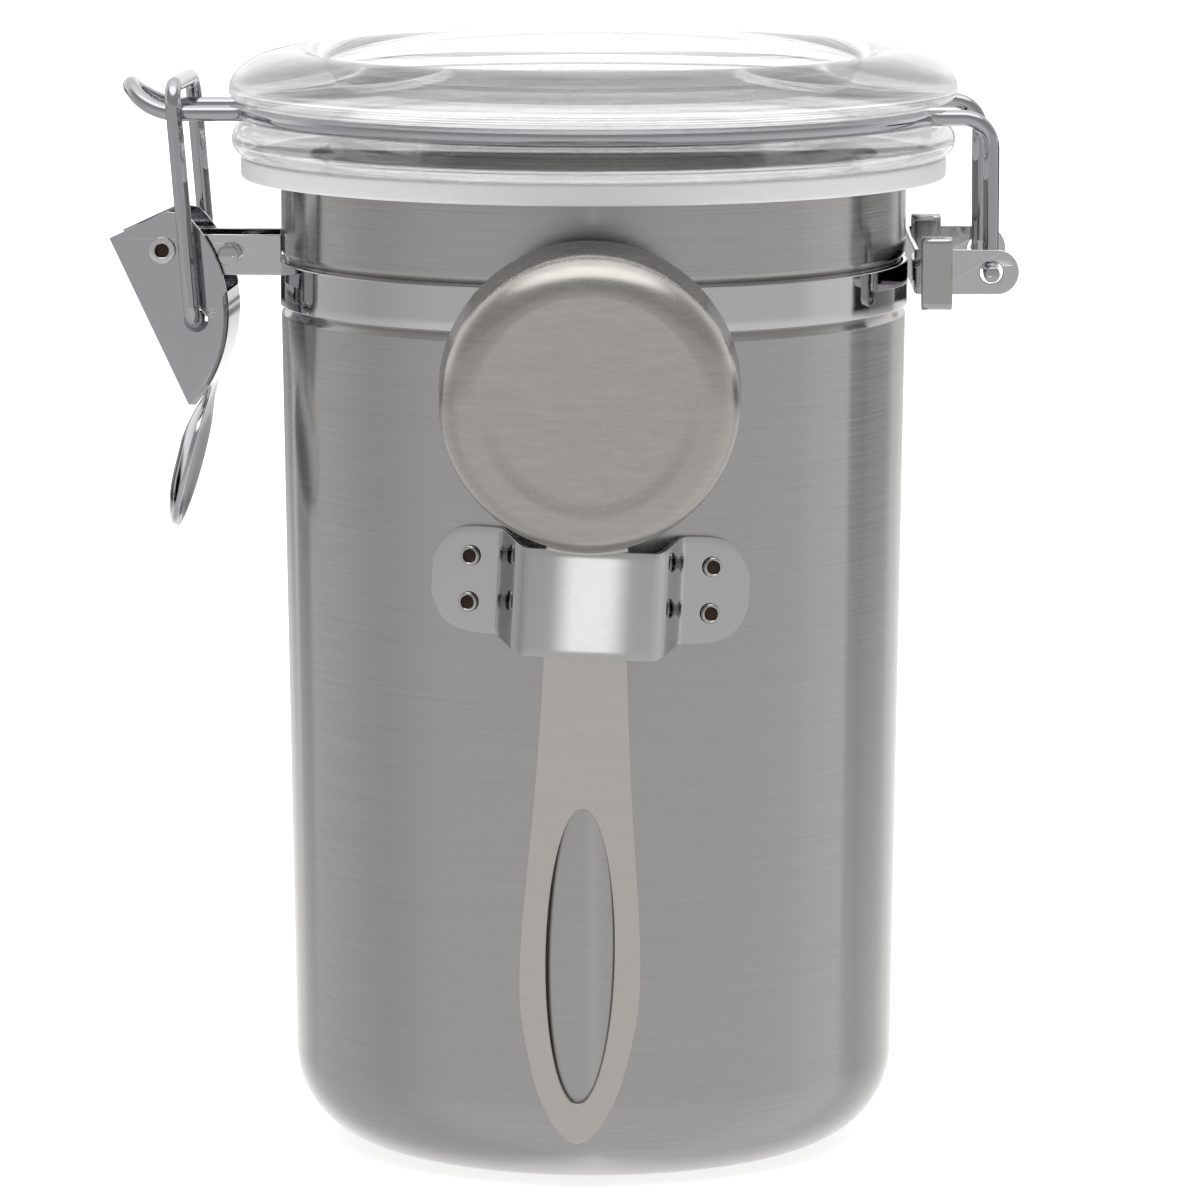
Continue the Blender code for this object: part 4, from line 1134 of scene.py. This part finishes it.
@dataclass
class Lever:
    """The over-centre lever: two cheeks folded from a curved web, and a cupped thumb tab."""

    latch: Latch
    sheet: float = 0.9 * MM
    half_span: float = 8.0 * MM
    radius: float = 24.65 * MM
    arc_x: float = -13.1 * MM
    arc_z: float = -11.2 * MM
    top: Flat = (0.8 * MM, 6.8 * MM)
    corner: Flat = (-9.4 * MM, 2.05 * MM)
    foot: Flat = (4.4 * MM, -27.2 * MM)
    rivet_hole: float = 2.0 * MM
    link_hole: float = 2.05 * MM
    link_drop: float = 0.3 * MM
    fold: float = 1.3 * MM
    # how far a cheek is set back at the fold, as a share of the fold's radius
    set_back: float = 0.55
    # the angles along which the tab's root lies over the web's foot
    overlap: tuple[float, ...] = (0.14, 0.07, 0.0)
    edge: float = 0.14 * MM
    web_top: float = math.radians(9.0)
    web_foot: float = math.radians(-31.0)
    tab_length: float = 26.0 * MM
    tab_lean: float = 6.6 * MM
    lean_share: float = 0.75
    tab_half_width: float = 10.2 * MM
    neck_half_width: float = 4.9 * MM
    cup: float = 2.8 * MM
    cheek_start: float = math.radians(-40.5)
    cheek_sweep: float = math.radians(85.5)
    cheek_steps: int = 48
    web_steps: int = 26
    # the tab's rows: how far along, and shares of its width past the neck's and of its cup
    tab: tuple[tuple[float, float, float], ...] = (
        (0.04, 0.0, 0.08), (0.12, 0.00, 0.25), (0.19, 0.22, 0.50), (0.26, 0.55, 0.70),
        (0.34, 0.80, 0.88), (0.42, 0.92, 1.00), (0.50, 0.98, 1.00), (0.58, 1.00, 1.00),
        (0.66, 0.98, 0.99), (0.72, 0.92, 0.95), (0.79, 0.79, 0.86), (0.84, 0.65, 0.75),
        (0.89, 0.44, 0.62), (0.93, 0.20, 0.50), (0.96, -0.05, 0.36), (0.985, -0.40, 0.22),
        (1.0, -0.80, 0.08),
    )

    def build(self) -> None:
        """Builds the lever in the latch's frame."""
        parts = []
        for side in (-1, 1):
            plate = stamped("cheek", self.cheek_outline(), self.sheet, self.edge, self.holes())
            parts.append((plate, upright(side * self.half_span)))
        mesh = joined("folded_lever", [*parts, (self.web(), STAY), (self.thumb_tab(), STAY)])
        add_piece("folded_lever", mesh, STAMPED, Body.LEVER, ["latch_lever"], self.latch.place())

    def cheek_outline(self) -> list[Flat]:
        """Draws a cheek's outline, set back where the web's fold begins.

        Returns:
            The outline's points.
        """
        outline = []
        for i in range(self.cheek_steps + 1):
            angle = self.cheek_start + self.cheek_sweep * i / self.cheek_steps
            inset = self.fold * self.set_back if self.web_foot < angle < self.web_top else 0.0
            outline.append(self.on_arc(angle, self.radius - inset).xz)
        return outline + [self.top, self.corner, self.foot]

    def on_arc(self, angle: float, radius: float) -> Vector:
        """Returns a place on a circle about the web's axis."""
        return Vector((self.arc_x + radius * math.cos(angle), 0, self.arc_z + radius * math.sin(angle)))

    def holes(self) -> list[list[Flat]]:
        """Returns the outlines of the holes for the rivet and the link."""
        link = circle(self.latch.link_x, self.latch.link_z - self.link_drop, self.link_hole)
        return [circle(0, 0, self.rivet_hole), link]

    def web(self) -> Mesh:
        """Shapes the web: a curved sheet whose sides are folded into the cheeks.

        Returns:
            The web's mesh.
        """
        outer = self.half_span + self.sheet / 2
        middle_fold = self.fold - self.sheet / 2
        profile = []
        for k in range(9):
            across = outer - self.fold + middle_fold * math.sin(QUARTER * k / 8)
            profile.append((across, self.sheet / 2 + middle_fold * (1 - math.cos(QUARTER * k / 8))))
        profile = [(-across, back) for across, back in reversed(profile)] + profile
        rows = []
        for i in range(self.web_steps + 1):
            angle = self.web_top + (self.web_foot - self.web_top) * i / self.web_steps
            rows.append([self.on_arc(angle, self.radius - back) + Vector((0, y, 0)) for y, back in profile])
        made = surface("web", rows)
        thicken(made, self.sheet, 0.0)
        return mesh_of(made, "web", CORNER)

    def thumb_tab(self) -> Mesh:
        """Shapes the thumb tab, cupped so that its hollow faces the can.

        Returns:
            The tab's mesh.
        """
        reach = self.radius - self.sheet / 2
        root = self.half_span - self.fold
        rows = [(self.on_arc(self.web_foot + back, reach), root, 0.0) for back in self.overlap]
        start = rows[-1][0]
        for along, width, cup in self.tab:
            half = self.neck_half_width + (self.tab_half_width - self.neck_half_width) * width
            lean = self.tab_lean * (self.lean_share * along + (1 - self.lean_share) * along**2)
            rows.append((start + Vector((-lean, 0, -self.tab_length * along)), half, self.cup * cup))
        across = Vector((0, 1, 0))
        stations = [
            Station(place, across.cross(way), across, half, self.sheet / 2, cup)
            for (place, half, cup), way in zip(rows, headings([row[0] for row in rows]))
        ]
        return strip("thumb_tab", stations, 0.25 * MM, 16)


@dataclass
class Link:
    """The wire link that hooks over the bail's nose."""

    latch: Latch
    wire: float = 1.4 * MM
    half_width: float = 13.0 * MM
    lean: float = 3.4 * MM
    rise: float = 41.0 * MM
    top_bend: float = 4.0 * MM
    foot_bend: float = 2.6 * MM
    end: float = 6.75 * MM

    def build(self) -> None:
        """Builds the link about its pivot in the lever."""
        half = [(0, -self.end, 0), (0, -self.half_width, 0), (-self.lean, -self.half_width, self.rise)]
        points = half + [(x, -y, z) for x, y, z in reversed(half)]
        route = bent(points, [self.foot_bend, self.top_bend, self.top_bend, self.foot_bend])
        place = self.latch.place() @ Matrix.Translation((self.latch.link_x, 0, self.latch.link_z))
        mesh = drawn_wire("wire_link", route, self.wire)
        add_piece("wire_link", mesh, CHROMED, Body.LINK, ["latch_link"], place)


@dataclass
class LatchRivets:
    """The lever's two hollow rivets and the pin that ties the ears."""

    latch: Latch
    band: Band
    barrel: float = 1.7 * MM
    bore: float = 1.25 * MM
    flange: float = 2.35 * MM
    lip: float = 0.35 * MM
    outside: float = 8.75 * MM
    inside: float = 5.25 * MM
    shank: float = 1.45 * MM
    head: float = 1.9 * MM
    head_start: float = 6.75 * MM
    head_end: float = 9.65 * MM
    chamfer: float = 0.35 * MM
    # the bore's mouth: how much wider it gets, and over what depth
    mouth: Flat = (0.12 * MM, 0.1 * MM)
    # the broken mandrel in the bore: how deep it sits, the gap round it, and its worn edge
    core_depth: float = 0.45 * MM
    core_gap: float = 0.04 * MM
    core_edge: float = 0.1 * MM
    core_flat: float = 0.8

    def build(self) -> None:
        """Builds the rivets and the pin."""
        along = Matrix.Rotation(QUARTER, 4, "X")
        for name, node, turn in (
            ("front_hollow_rivet", "lever_eyelet_front", 0.0),
            ("rear_hollow_rivet", "lever_eyelet_rear", math.pi),
        ):
            place = self.latch.place() @ Matrix.Rotation(turn, 4, "Z") @ along
            mesh = turned(name, self.eyelet(), 64, closed=True)
            add_piece(name, mesh, POLISHED, Body.CANISTER, [node], place)
            core = turned("rivet_core", self.core(), 48)
            add_piece(f"{name}_core", core, MANDREL, Body.CANISTER, (), place)
        place = self.latch.place() @ Matrix.Translation((self.band.pin_x, 0, self.band.pin_z)) @ along
        add_piece("ear_pin", turned("ear_pin", self.pin(), 64), PRESSED, Body.CANISTER, ["tie_pin"], place)

    def eyelet(self) -> list[Flat]:
        """Draws a hollow rivet's closed profile, with its rolled outer flange.

        Returns:
            The profile's points.
        """
        top = self.outside + self.lip
        roll = self.lip / 2
        wider, deep = self.mouth
        points = [(self.bore, top - deep), (self.bore + wider, top)]
        points += arc(self.flange - roll, self.outside + roll, roll, QUARTER, -QUARTER, 8)
        points += [(self.barrel, self.outside), (self.barrel, self.inside)]
        points += arc(self.flange - roll, self.inside - roll, roll, QUARTER, -QUARTER, 8)
        return points + [(self.bore, self.inside - self.lip)]

    def core(self) -> list[Flat]:
        """Draws the broken mandrel that fills a rivet's bore.

        Returns:
            The profile's points.
        """
        top = self.outside + self.lip - self.core_depth
        radius = self.bore - self.core_gap
        worn = [(radius * self.core_flat, top), (radius, top - self.core_edge)]
        return [(0.0, top), *worn, (radius, self.inside), (0.0, self.inside)]

    def pin(self) -> list[Flat]:
        """Draws the pin's profile, with its two chamfered heads.

        Returns:
            The profile's points.
        """
        head, end, cut = self.head, self.head_end, self.chamfer
        half = [(0.0, end), (head - cut, end), (head - cut * 0.3, end - cut * 0.3), (head, end - cut)]
        half += [(head, self.head_start), (self.shank, self.head_start)]
        return half + [(radius, -height) for radius, height in reversed(half)]


# The scoop and its strap


@dataclass
class Scoop:
    """The scoop: a pressed bowl on a flat handle that leans out in the strap."""

    x: float = -1.2 * MM
    out: float = 59.7 * MM
    middle_z: float = 103.8 * MM
    lean: float = math.radians(3.8)
    roll: float = math.radians(1.0)
    bowl_z: float = 140.45 * MM
    bowl_radius: float = 25.5 * MM
    bowl_depth: float = 18.5 * MM
    bowl_corner: float = 6.5 * MM
    bowl_taper: float = 0.3 * MM
    bowl_wall: float = 0.8 * MM
    dimple: float = 0.35 * MM
    sheet: float = 1.0 * MM
    length: float = 105.5 * MM
    half_width: float = 10.4 * MM
    gap: float = 0.3 * MM
    edge: float = 0.22 * MM
    oval: Flat = (5.9 * MM, 26.1 * MM)
    oval_from_tip: float = 33.2 * MM
    foot_depth: float = 9.0 * MM
    # how the bowl's floor rises: the distance in from its corner, and the share of the dimple's depth
    floor_rows: tuple[Flat, ...] = ((1.0 * MM, 0.25), (2.2 * MM, 0.8), (3.6 * MM, 1.0))
    # the handle's side, from its tip: the share of its length, and of its half width
    side: tuple[Flat, ...] = (
        (0.006, 0.18), (0.035, 0.43), (0.10, 0.72), (0.20, 0.94), (0.27, 1.0), (0.38, 0.965),
        (0.50, 0.87), (0.63, 0.775), (0.81, 0.685), (1.0, 0.66),
    )

    def place(self) -> Matrix:
        """Returns the scoop's frame, on its slide."""
        turn = Matrix.Rotation(self.lean, 4, "X") @ Matrix.Rotation(self.roll, 4, "Y")
        return Matrix.Translation((self.x, -self.out, self.middle_z)) @ turn

    def rise(self) -> float:
        """Returns the bowl's height in the scoop's frame."""
        return (self.bowl_z - self.middle_z) / math.cos(self.lean)

    def build(self) -> None:
        """Builds the bowl and the handle."""
        place = self.place() @ Matrix.Translation((0, 0, self.rise())) @ Matrix.Rotation(-QUARTER, 4, "X")
        bowl = turned("pressed_bowl", self.bowl_profile(), 144, self.bowl_wall)
        add_piece("pressed_bowl", bowl, SATIN_BOWL, Body.SCOOP, ["scoop_bowl"], place)
        mesh = joined("stamped_handle", [(self.strip(), FRONT), (self.foot(), STAY)])
        add_piece("stamped_handle", mesh, SATIN_HANDLE, Body.SCOOP, ["scoop_handle"], self.place())

    def bowl_profile(self) -> list[Flat]:
        """Draws the bowl's outer profile.

        Returns:
            Its points, from the bowl's mouth to the middle of its floor.
        """
        flat = self.bowl_radius - self.bowl_taper - self.bowl_corner
        points = [(self.bowl_radius, 0.0)]
        points += arc(flat, self.bowl_corner - self.bowl_depth, self.bowl_corner, 0, -QUARTER, 18)
        for inset, share in self.floor_rows:
            points.append((flat - inset, -self.bowl_depth + self.dimple * share))
        points.append((0.0, -self.bowl_depth + self.dimple))
        return points

    def strip(self) -> Mesh:
        """Stamps the flat part of the handle.

        Returns:
            Its mesh, in its own plane.
        """
        top = self.rise() - self.bowl_radius - self.gap - self.sheet / 2
        tip = top - self.length
        side = [(0.0, 0.0)] + smoothed(self.side, 5)
        right = [(self.half_width * width, tip + self.length * along) for along, width in side]
        left = [(-x, z) for x, z in reversed(right[1:])]
        hole = ellipse_arc(0, tip + self.oval_from_tip, *self.oval, 0, math.tau, 96)[:-1]
        return stamped("handle_strip", right + left, self.sheet, self.edge, [hole])

    def foot(self) -> Mesh:
        """Shapes the part of the handle that is folded forward under the bowl.

        Returns:
            Its mesh, in the scoop's frame.
        """
        radius = self.bowl_radius + self.gap + self.sheet / 2
        half = math.radians(15)
        stations = []
        for i in range(17):
            angle = -QUARTER - half + 2 * half * i / 16
            outward = Vector((math.cos(angle), 0, math.sin(angle)))
            middle = outward * radius + Vector((0, self.sheet / 3 - self.foot_depth / 2, self.rise()))
            stations.append(Station(middle, outward, Vector((0, 1, 0)), self.foot_depth / 2, self.sheet / 2))
        return strip("handle_foot", stations, 0.25 * MM)


def smoothed(shares: Sequence[Flat], steps: int) -> list[Flat]:
    """A smooth line through a table of points.

    Args:
        shares: the points.
        steps: the number of steps between two of them.

    Returns:
        More points, on one smooth line.
    """
    points = []
    last = len(shares) - 1
    for i in range(last):
        before, start = shares[max(i - 1, 0)], shares[i]
        end, after = shares[i + 1], shares[min(i + 2, last)]
        for j in range(steps):
            t = j / steps
            values = []
            for a, b, c, d in zip(before, start, end, after):
                bend = (2 * a - 5 * b + 4 * c - d) * t**2 + (3 * b - a - 3 * c + d) * t**3
                values.append((2 * b + (c - a) * t + bend) / 2)
            points.append((values[0], values[1]))
    points.append(tuple(shares[last]))
    return points


@dataclass
class Strap:
    """The strap that holds the handle: flanges on the can, raised sides and a flat bridge."""

    can: Can
    x: float = -0.6 * MM
    z: float = 103.8 * MM
    height: float = 18.5 * MM
    sheet: float = 0.8 * MM
    tilt: float = math.radians(2.8)
    lift: float = 2.1 * MM
    bridge: float = 11.5 * MM
    slot: float = 6.8 * MM
    bow: float = 0.22 * MM
    bend: float = 1.2 * MM
    riser: float = 14.5 * MM
    flange: float = 26.8 * MM
    rivet_x: float = 20.3 * MM
    rivet_z: float = 4.0 * MM
    shank: float = 1.05 * MM
    head: float = 1.75 * MM
    proud: float = 0.5 * MM
    bore: float = 1.2 * MM
    bore_floor: float = 0.05 * MM
    # the bore's mouth: how much wider it gets, and over what depth
    mouth: Flat = (0.12 * MM, 0.1 * MM)
    # the broken mandrel in the bore: the gap round it, the height of its foot, and its profile as shares of
    # its radius and heights
    core_gap: float = 0.04 * MM
    core_foot: float = 0.07 * MM
    core: tuple[Flat, ...] = ((0.0, 0.30 * MM), (0.75, 0.28 * MM), (1.0, 0.18 * MM), (1.0, 0.0), (0.0, 0.0))
    edge: float = 0.14 * MM
    # how the strap's rows are spaced: over a flange, a riser and half the bridge
    flange_steps: int = 18
    riser_steps: int = 14
    bridge_steps: int = 6
    # how much of its half height a flange loses at its round end, and how its rows crowd towards that end
    flange_round: float = 0.92
    crowding: float = 1.6

    def on_can(self, x: float, height: float, out: float) -> Vector:
        """A place on the strap's inner face, whose bridge is bowed a little.

        Args:
            x: the distance from its middle.
            height: the height above its middle.
            out: 0 on the can's wall, 1 on the bridge.

        Returns:
            The place, tilted with the strap.
        """
        turned_x = self.x + x * math.cos(self.tilt) + height * math.sin(self.tilt)
        z = self.z + height * math.cos(self.tilt) - x * math.sin(self.tilt)
        radius = self.can.radius_at(z) + self.can.gap
        wall = math.sqrt(radius**2 - turned_x**2)
        bridge = self.can.radius_at(self.z) + self.slot - self.bow * min(1.0, (x / self.bridge) ** 2)
        return Vector((turned_x, -wall - out * (bridge - wall), z))

    def outline(self) -> list[tuple[float, float, float, float]]:
        """Spaces the stations of the strap's right half.

        Returns:
            For each station, x, how far out it is, its half height and its lift.
        """
        half = self.height / 2
        stations = []
        foot = self.riser + self.bend
        for i in range(self.flange_steps + 1):
            along = 1 - (i / self.flange_steps) ** self.crowding
            high = half * math.sqrt(1 - self.flange_round * along**4)
            stations.append((foot + (self.flange - foot) * along, 0.0, high, self.lift))
        for i in range(1, self.riser_steps + 1):
            share = i / self.riser_steps
            x = foot - (self.riser - self.bridge + 2 * self.bend) * share
            out = smooth_step(share)
            stations.append((x, out, half, self.lift * (1 - out)))
        for i in range(1, self.bridge_steps):
            stations.append(((self.bridge - self.bend) * (1 - i / self.bridge_steps), 1.0, half, 0.0))
        return stations

    def build(self) -> None:
        """Builds the strap and its rivets."""
        right = self.outline()
        left = [(-x, out, half, lift) for x, out, half, lift in right]
        rows = []
        for x, out, half, lift in [*left, (0.0, 1.0, self.height / 2, 0.0), *reversed(right)]:
            rows.append([self.on_can(x, lift + half * (j / 6 - 1), out) for j in range(13)])
        places = self.rivet_places()
        mesh = self.pierced(rows, places)
        add_piece("pressed_strap", mesh, PRESSED, Body.CANISTER, ["scoop_strap"])
        for name, place in places.items():
            rivet = turned("blind_rivet", self.rivet_profile(), 48)
            add_piece(f"blind_rivet_{name}", rivet, PRESSED, Body.CANISTER, [f"strap_rivet_{name}"], place)
            core = turned("mandrel", self.mandrel_profile(), 32)
            add_piece(f"mandrel_{name}", core, MANDREL, Body.CANISTER, (), place)

    def pierced(self, rows: Sequence[Sequence[Vector]], places: dict[str, Matrix]) -> Mesh:
        """The strap's sheet with its rivet holes.

        Args:
            rows: points on its inner face.
            places: the rivets' frames.

        Returns:
            The mesh.
        """
        made = surface("strap_sheet", rows)
        thicken(made, self.sheet, -1.0)
        soft = made.modifiers.new("Edges", "BEVEL")
        soft.width = self.edge
        soft.segments = 2
        soft.limit_method = "ANGLE"
        soft.angle_limit = math.radians(60)
        radius = self.shank + self.can.gap
        high, low = 3 * MM, -2 * MM
        drill = turned("drill", [(0, high), (radius, high), (radius, low), (0, low)], 40)
        tools = []
        for place in places.values():
            tool = loose("drill", drill)
            tool.matrix_world = place
            tools.append(tool)
            cut = made.modifiers.new("Hole", "BOOLEAN")
            cut.operation = "DIFFERENCE"
            cut.solver = "EXACT"
            cut.object = tool
        pierced = mesh_of(made, "pressed_strap", 40.0)
        for tool in tools:
            bpy.data.objects.remove(tool)
        return pierced

    def rivet_places(self) -> dict[str, Matrix]:
        """Places the rivets square to the wall.

        Returns:
            Each rivet's name and frame.
        """
        places = {}
        for side, side_name in ((-1, "left"), (1, "right")):
            for rise, rise_name in ((-self.rivet_z, "lower"), (self.rivet_z, "upper")):
                foot = self.on_can(side * self.rivet_x, self.lift + rise, 0.0)
                turn = Matrix.Rotation(math.atan2(foot.y, foot.x), 4, "Z") @ Matrix.Rotation(QUARTER, 4, "Y")
                places[f"{side_name}_{rise_name}"] = Matrix.Translation(foot) @ turn
        return places

    def rivet_profile(self) -> list[Flat]:
        """Draws a blind rivet's profile, with its domed flange and open bore.

        Returns:
            The profile's points.
        """
        head = self.sheet + self.can.gap
        floor = head + self.bore_floor
        wider, deep = self.mouth
        points = [(0.0, floor), (self.bore, floor), (self.bore, head + self.proud - deep)]
        rim = self.bore + wider
        points += ellipse_arc(rim, head, self.head - rim, self.proud, QUARTER, 0, 8)
        return points + [(self.shank, head), (self.shank, 0.0), (0.0, 0.0)]

    def mandrel_profile(self) -> list[Flat]:
        """Draws the broken mandrel that stands in the rivet's bore.

        Returns:
            The profile's points.
        """
        foot = self.sheet + self.can.gap + self.core_foot
        radius = self.bore - self.core_gap
        return [(radius * share, foot + height) for share, height in self.core]


def smooth_step(share: float) -> float:
    """Returns a share from 0 to 1 with soft ends."""
    return share * share * (3 - 2 * share)


# The studio


@dataclass
class Studio:
    """A pale floor, the studio's light and the camera."""

    distance: float = 1.300
    height: float = 0.286
    side: float = 0.00114
    pitch: float = math.radians(8.33)
    lens: float = 222.0
    sensor: float = 36.0
    clip: Flat = (0.05, 40.0)
    floor_size: float = 16.0
    scale: float = 3.0
    # light boxes and flags round the horizon: degrees from the camera, minus to the left, and brightness
    round_about: tuple[Flat, ...] = (
        (-180, 0.45), (-158, 0.35), (-156, 0.12), (-151, 0.12), (-149.5, 0.75), (-147, 0.75),
        (-145, 0.00), (-133, 0.00), (-131.5, 0.62), (-104, 0.54), (-88, 0.47), (-60, 0.57), (80, 0.60),
        (89, 0.73), (108.5, 0.76), (110, 0.02), (119, 0.02), (122, 0.16), (136, 0.22), (142, 0.34),
        (146, 0.80), (160, 0.90), (180, 0.90),
    )
    # what the table and the paper behind it send back, seen the same way
    table: tuple[Flat, ...] = (
        (-180, 1.25), (-161, 1.10), (-153, 0.95), (-142, 0.78), (-134, 0.70), (-107, 0.67), (-85, 0.63),
        (-60, 0.75), (60, 0.76), (98, 0.86), (115, 0.86), (121, 0.72), (139, 0.82), (155, 1.00),
        (163, 1.08), (180, 1.25),
    )
    # the white backdrop and the room's front, above the horizon
    backdrop: tuple[Flat, ...] = (
        (-180, 1.15), (-120, 1.15), (-95, 0.62), (0, 0.56), (95, 0.66), (120, 1.15), (180, 1.15),
    )
    # the box overhead, by the sine of the height: brightness, and its share of what is seen there
    overhead: tuple[tuple[float, float, float], ...] = (
        (-0.10, 0.6, 0.0), (0.16, 0.6, 0.0), (0.26, 0.42, 1.0), (0.74, 0.42, 1.0), (0.84, 2.00, 1.0),
        (1.00, 2.00, 1.0),
    )
    # how much the box overhead hides the backdrop, by degrees from the camera
    overhead_reach: tuple[Flat, ...] = (
        (-180, 0.2), (-125, 0.2), (-85, 1.0), (85, 1.0), (125, 0.2), (180, 0.2),
    )
    # small boxes and cards: degrees from the camera and sines of the height, each as (outer, inner, inner,
    # outer), and brightness
    cards: tuple[tuple[tuple[float, ...], tuple[float, ...], float], ...] = (
        ((-1.75, -1.6, 1.6, 1.75), (-0.166, -0.158, -0.132, -0.124), 1.75),
        ((143.0, 145.0, 166.0, 170.0), (-0.113, -0.112, -0.0955, -0.0945), 0.02),
        ((-170.0, -166.0, -150.0, -146.0), (-0.113, -0.112, -0.0955, -0.0945), 0.02),
        ((-180.0, -179.0, -130.0, -125.0), (-0.0935, -0.0925, -0.080, -0.078), 0.06),
        ((125.0, 130.0, 179.0, 180.0), (-0.0935, -0.0925, -0.080, -0.078), 0.06),
    )
    # heights, as sines, over which the table gives way to the boxes, and the boxes to the backdrop
    table_edge: Flat = (-0.175, -0.115)
    horizon: Flat = (0.01, 0.05)

    def build(self) -> None:
        """Builds the floor, the light and the camera."""
        self.build_floor()
        self.build_light()
        self.build_camera()

    def build_floor(self) -> None:
        """Builds the pale floor."""
        edit = bmesh.new()
        bmesh.ops.create_grid(edit, x_segments=8, y_segments=8, size=self.floor_size / 2)
        mesh = bpy.data.meshes.new("studio_floor")
        edit.to_mesh(mesh)
        edit.free()
        floor = loose("studio_floor", mesh)
        made = bpy.data.materials.new("matt_white_paper")
        made.use_nodes = True
        tree = made.node_tree
        paper = {"Base Color": linear("#F7F7F7"), "Roughness": 0.9, "Specular IOR Level": 0.0}
        glow = {"Emission Color": (1, 1, 1, 1), "Emission Strength": 0.65}
        feed(tree, tree.nodes["Principled BSDF"], paper | glow)
        mesh.materials.append(made)
        floor.visible_glossy = False

    def build_light(self) -> None:
        """Builds the light that surrounds the object, as soft boxes and flags would give it."""
        world = bpy.data.worlds.new("studio_light")
        bpy.context.scene.world = world
        world.use_nodes = True
        tree = world.node_tree
        tree.nodes.clear()
        way = add_node(tree, "TexCoord").outputs["Generated"]
        axes = add_node(tree, "SeparateXYZ", {"Vector": way}).outputs
        front = add_node(tree, "Math", {0: axes["Y"], 1: -1.0}, operation="MULTIPLY")
        turn = add_node(tree, "Math", {0: axes["X"], 1: front}, operation="ARCTAN2")
        around = add_node(tree, "MapRange", spread(turn, -math.pi, math.pi))
        upward = add_node(tree, "MapRange", spread(axes["Z"], -1.0, 1.0))
        low = add_node(tree, "MapRange", spread(axes["Z"], *self.table_edge))
        high = add_node(tree, "MapRange", spread(axes["Z"], *self.horizon))
        circle_of, height_of = (around, 360), (upward, 2)
        ramps = []
        for (place, span), stops in (
            (circle_of, [(v, level / self.scale) for v, level in self.round_about]),
            (circle_of, [(v, level / self.scale) for v, level in self.table]),
            (circle_of, [(v, level / self.scale) for v, level in self.backdrop]),
            (height_of, [(v, level / self.scale) for v, level, _ in self.overhead]),
            (height_of, [(v, share) for v, _, share in self.overhead]),
            (circle_of, self.overhead_reach),
            *((circle_of, zip(sideways, (0, 1, 1, 0))) for sideways, _, _ in self.cards),
            *((height_of, zip(heights, (0, 1, 1, 0))) for _, heights, _ in self.cards),
        ):
            ramp = add_node(tree, "ValToRGB", {"Fac": place})
            ramps.append(set_ramp(ramp, [(v / span + 0.5, grey(level)) for v, level in stops]))
        boxes, table, backdrop, above, part, reach, *edges = ramps
        sides = add_node(tree, "Mix", {"Factor": low, "A": table, "B": boxes})
        walls = add_node(tree, "Mix", {"Factor": high, "A": sides, "B": backdrop})
        cover = add_node(tree, "Math", {0: part, 1: reach}, operation="MULTIPLY")
        level = add_node(tree, "Mix", {"Factor": cover, "A": walls, "B": above})
        count = len(self.cards)
        for across, down, (_, _, brightness) in zip(edges[:count], edges[count:], self.cards):
            card = add_node(tree, "Math", {0: across, 1: down}, operation="MULTIPLY")
            level = add_node(tree, "Mix", {"Factor": card, "A": level, "B": brightness / self.scale})
        strength = add_node(tree, "Math", {0: level, 1: self.scale}, operation="MULTIPLY")
        light = add_node(tree, "Background", {"Color": (1.0, 0.995, 0.99, 1), "Strength": strength})
        add_node(tree, "OutputWorld", {"Surface": light})
        bpy.context.scene.view_settings.view_transform = "Standard"

    def build_camera(self) -> None:
        """Builds the camera where the photograph's was."""
        data = bpy.data.cameras.new("studio_camera")
        data.lens = self.lens
        data.sensor_width = self.sensor
        data.clip_start, data.clip_end = self.clip
        camera = loose("studio_camera", data)
        camera.location = (self.side, -self.distance, self.height)
        camera.rotation_euler = (QUARTER - self.pitch, 0, 0)
        bpy.context.scene.camera = camera


def main() -> None:
    """Builds the studio and every part of the canister."""
    logging.basicConfig(level=logging.INFO, format="%(name)s: %(message)s")
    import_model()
    Studio().build()
    can, latch, hinge = Can(), Latch(), Hinge()
    band = Band(can, latch)
    parts = [can, band, hinge, Lid(), Bail(hinge), Lever(latch), Link(latch), LatchRivets(latch, band)]
    parts += [Scoop(), Strap(can)]
    for part in parts:
        LOG.info("building %s", type(part).__name__)
        part.build()


if __name__ == "__main__":
    main()
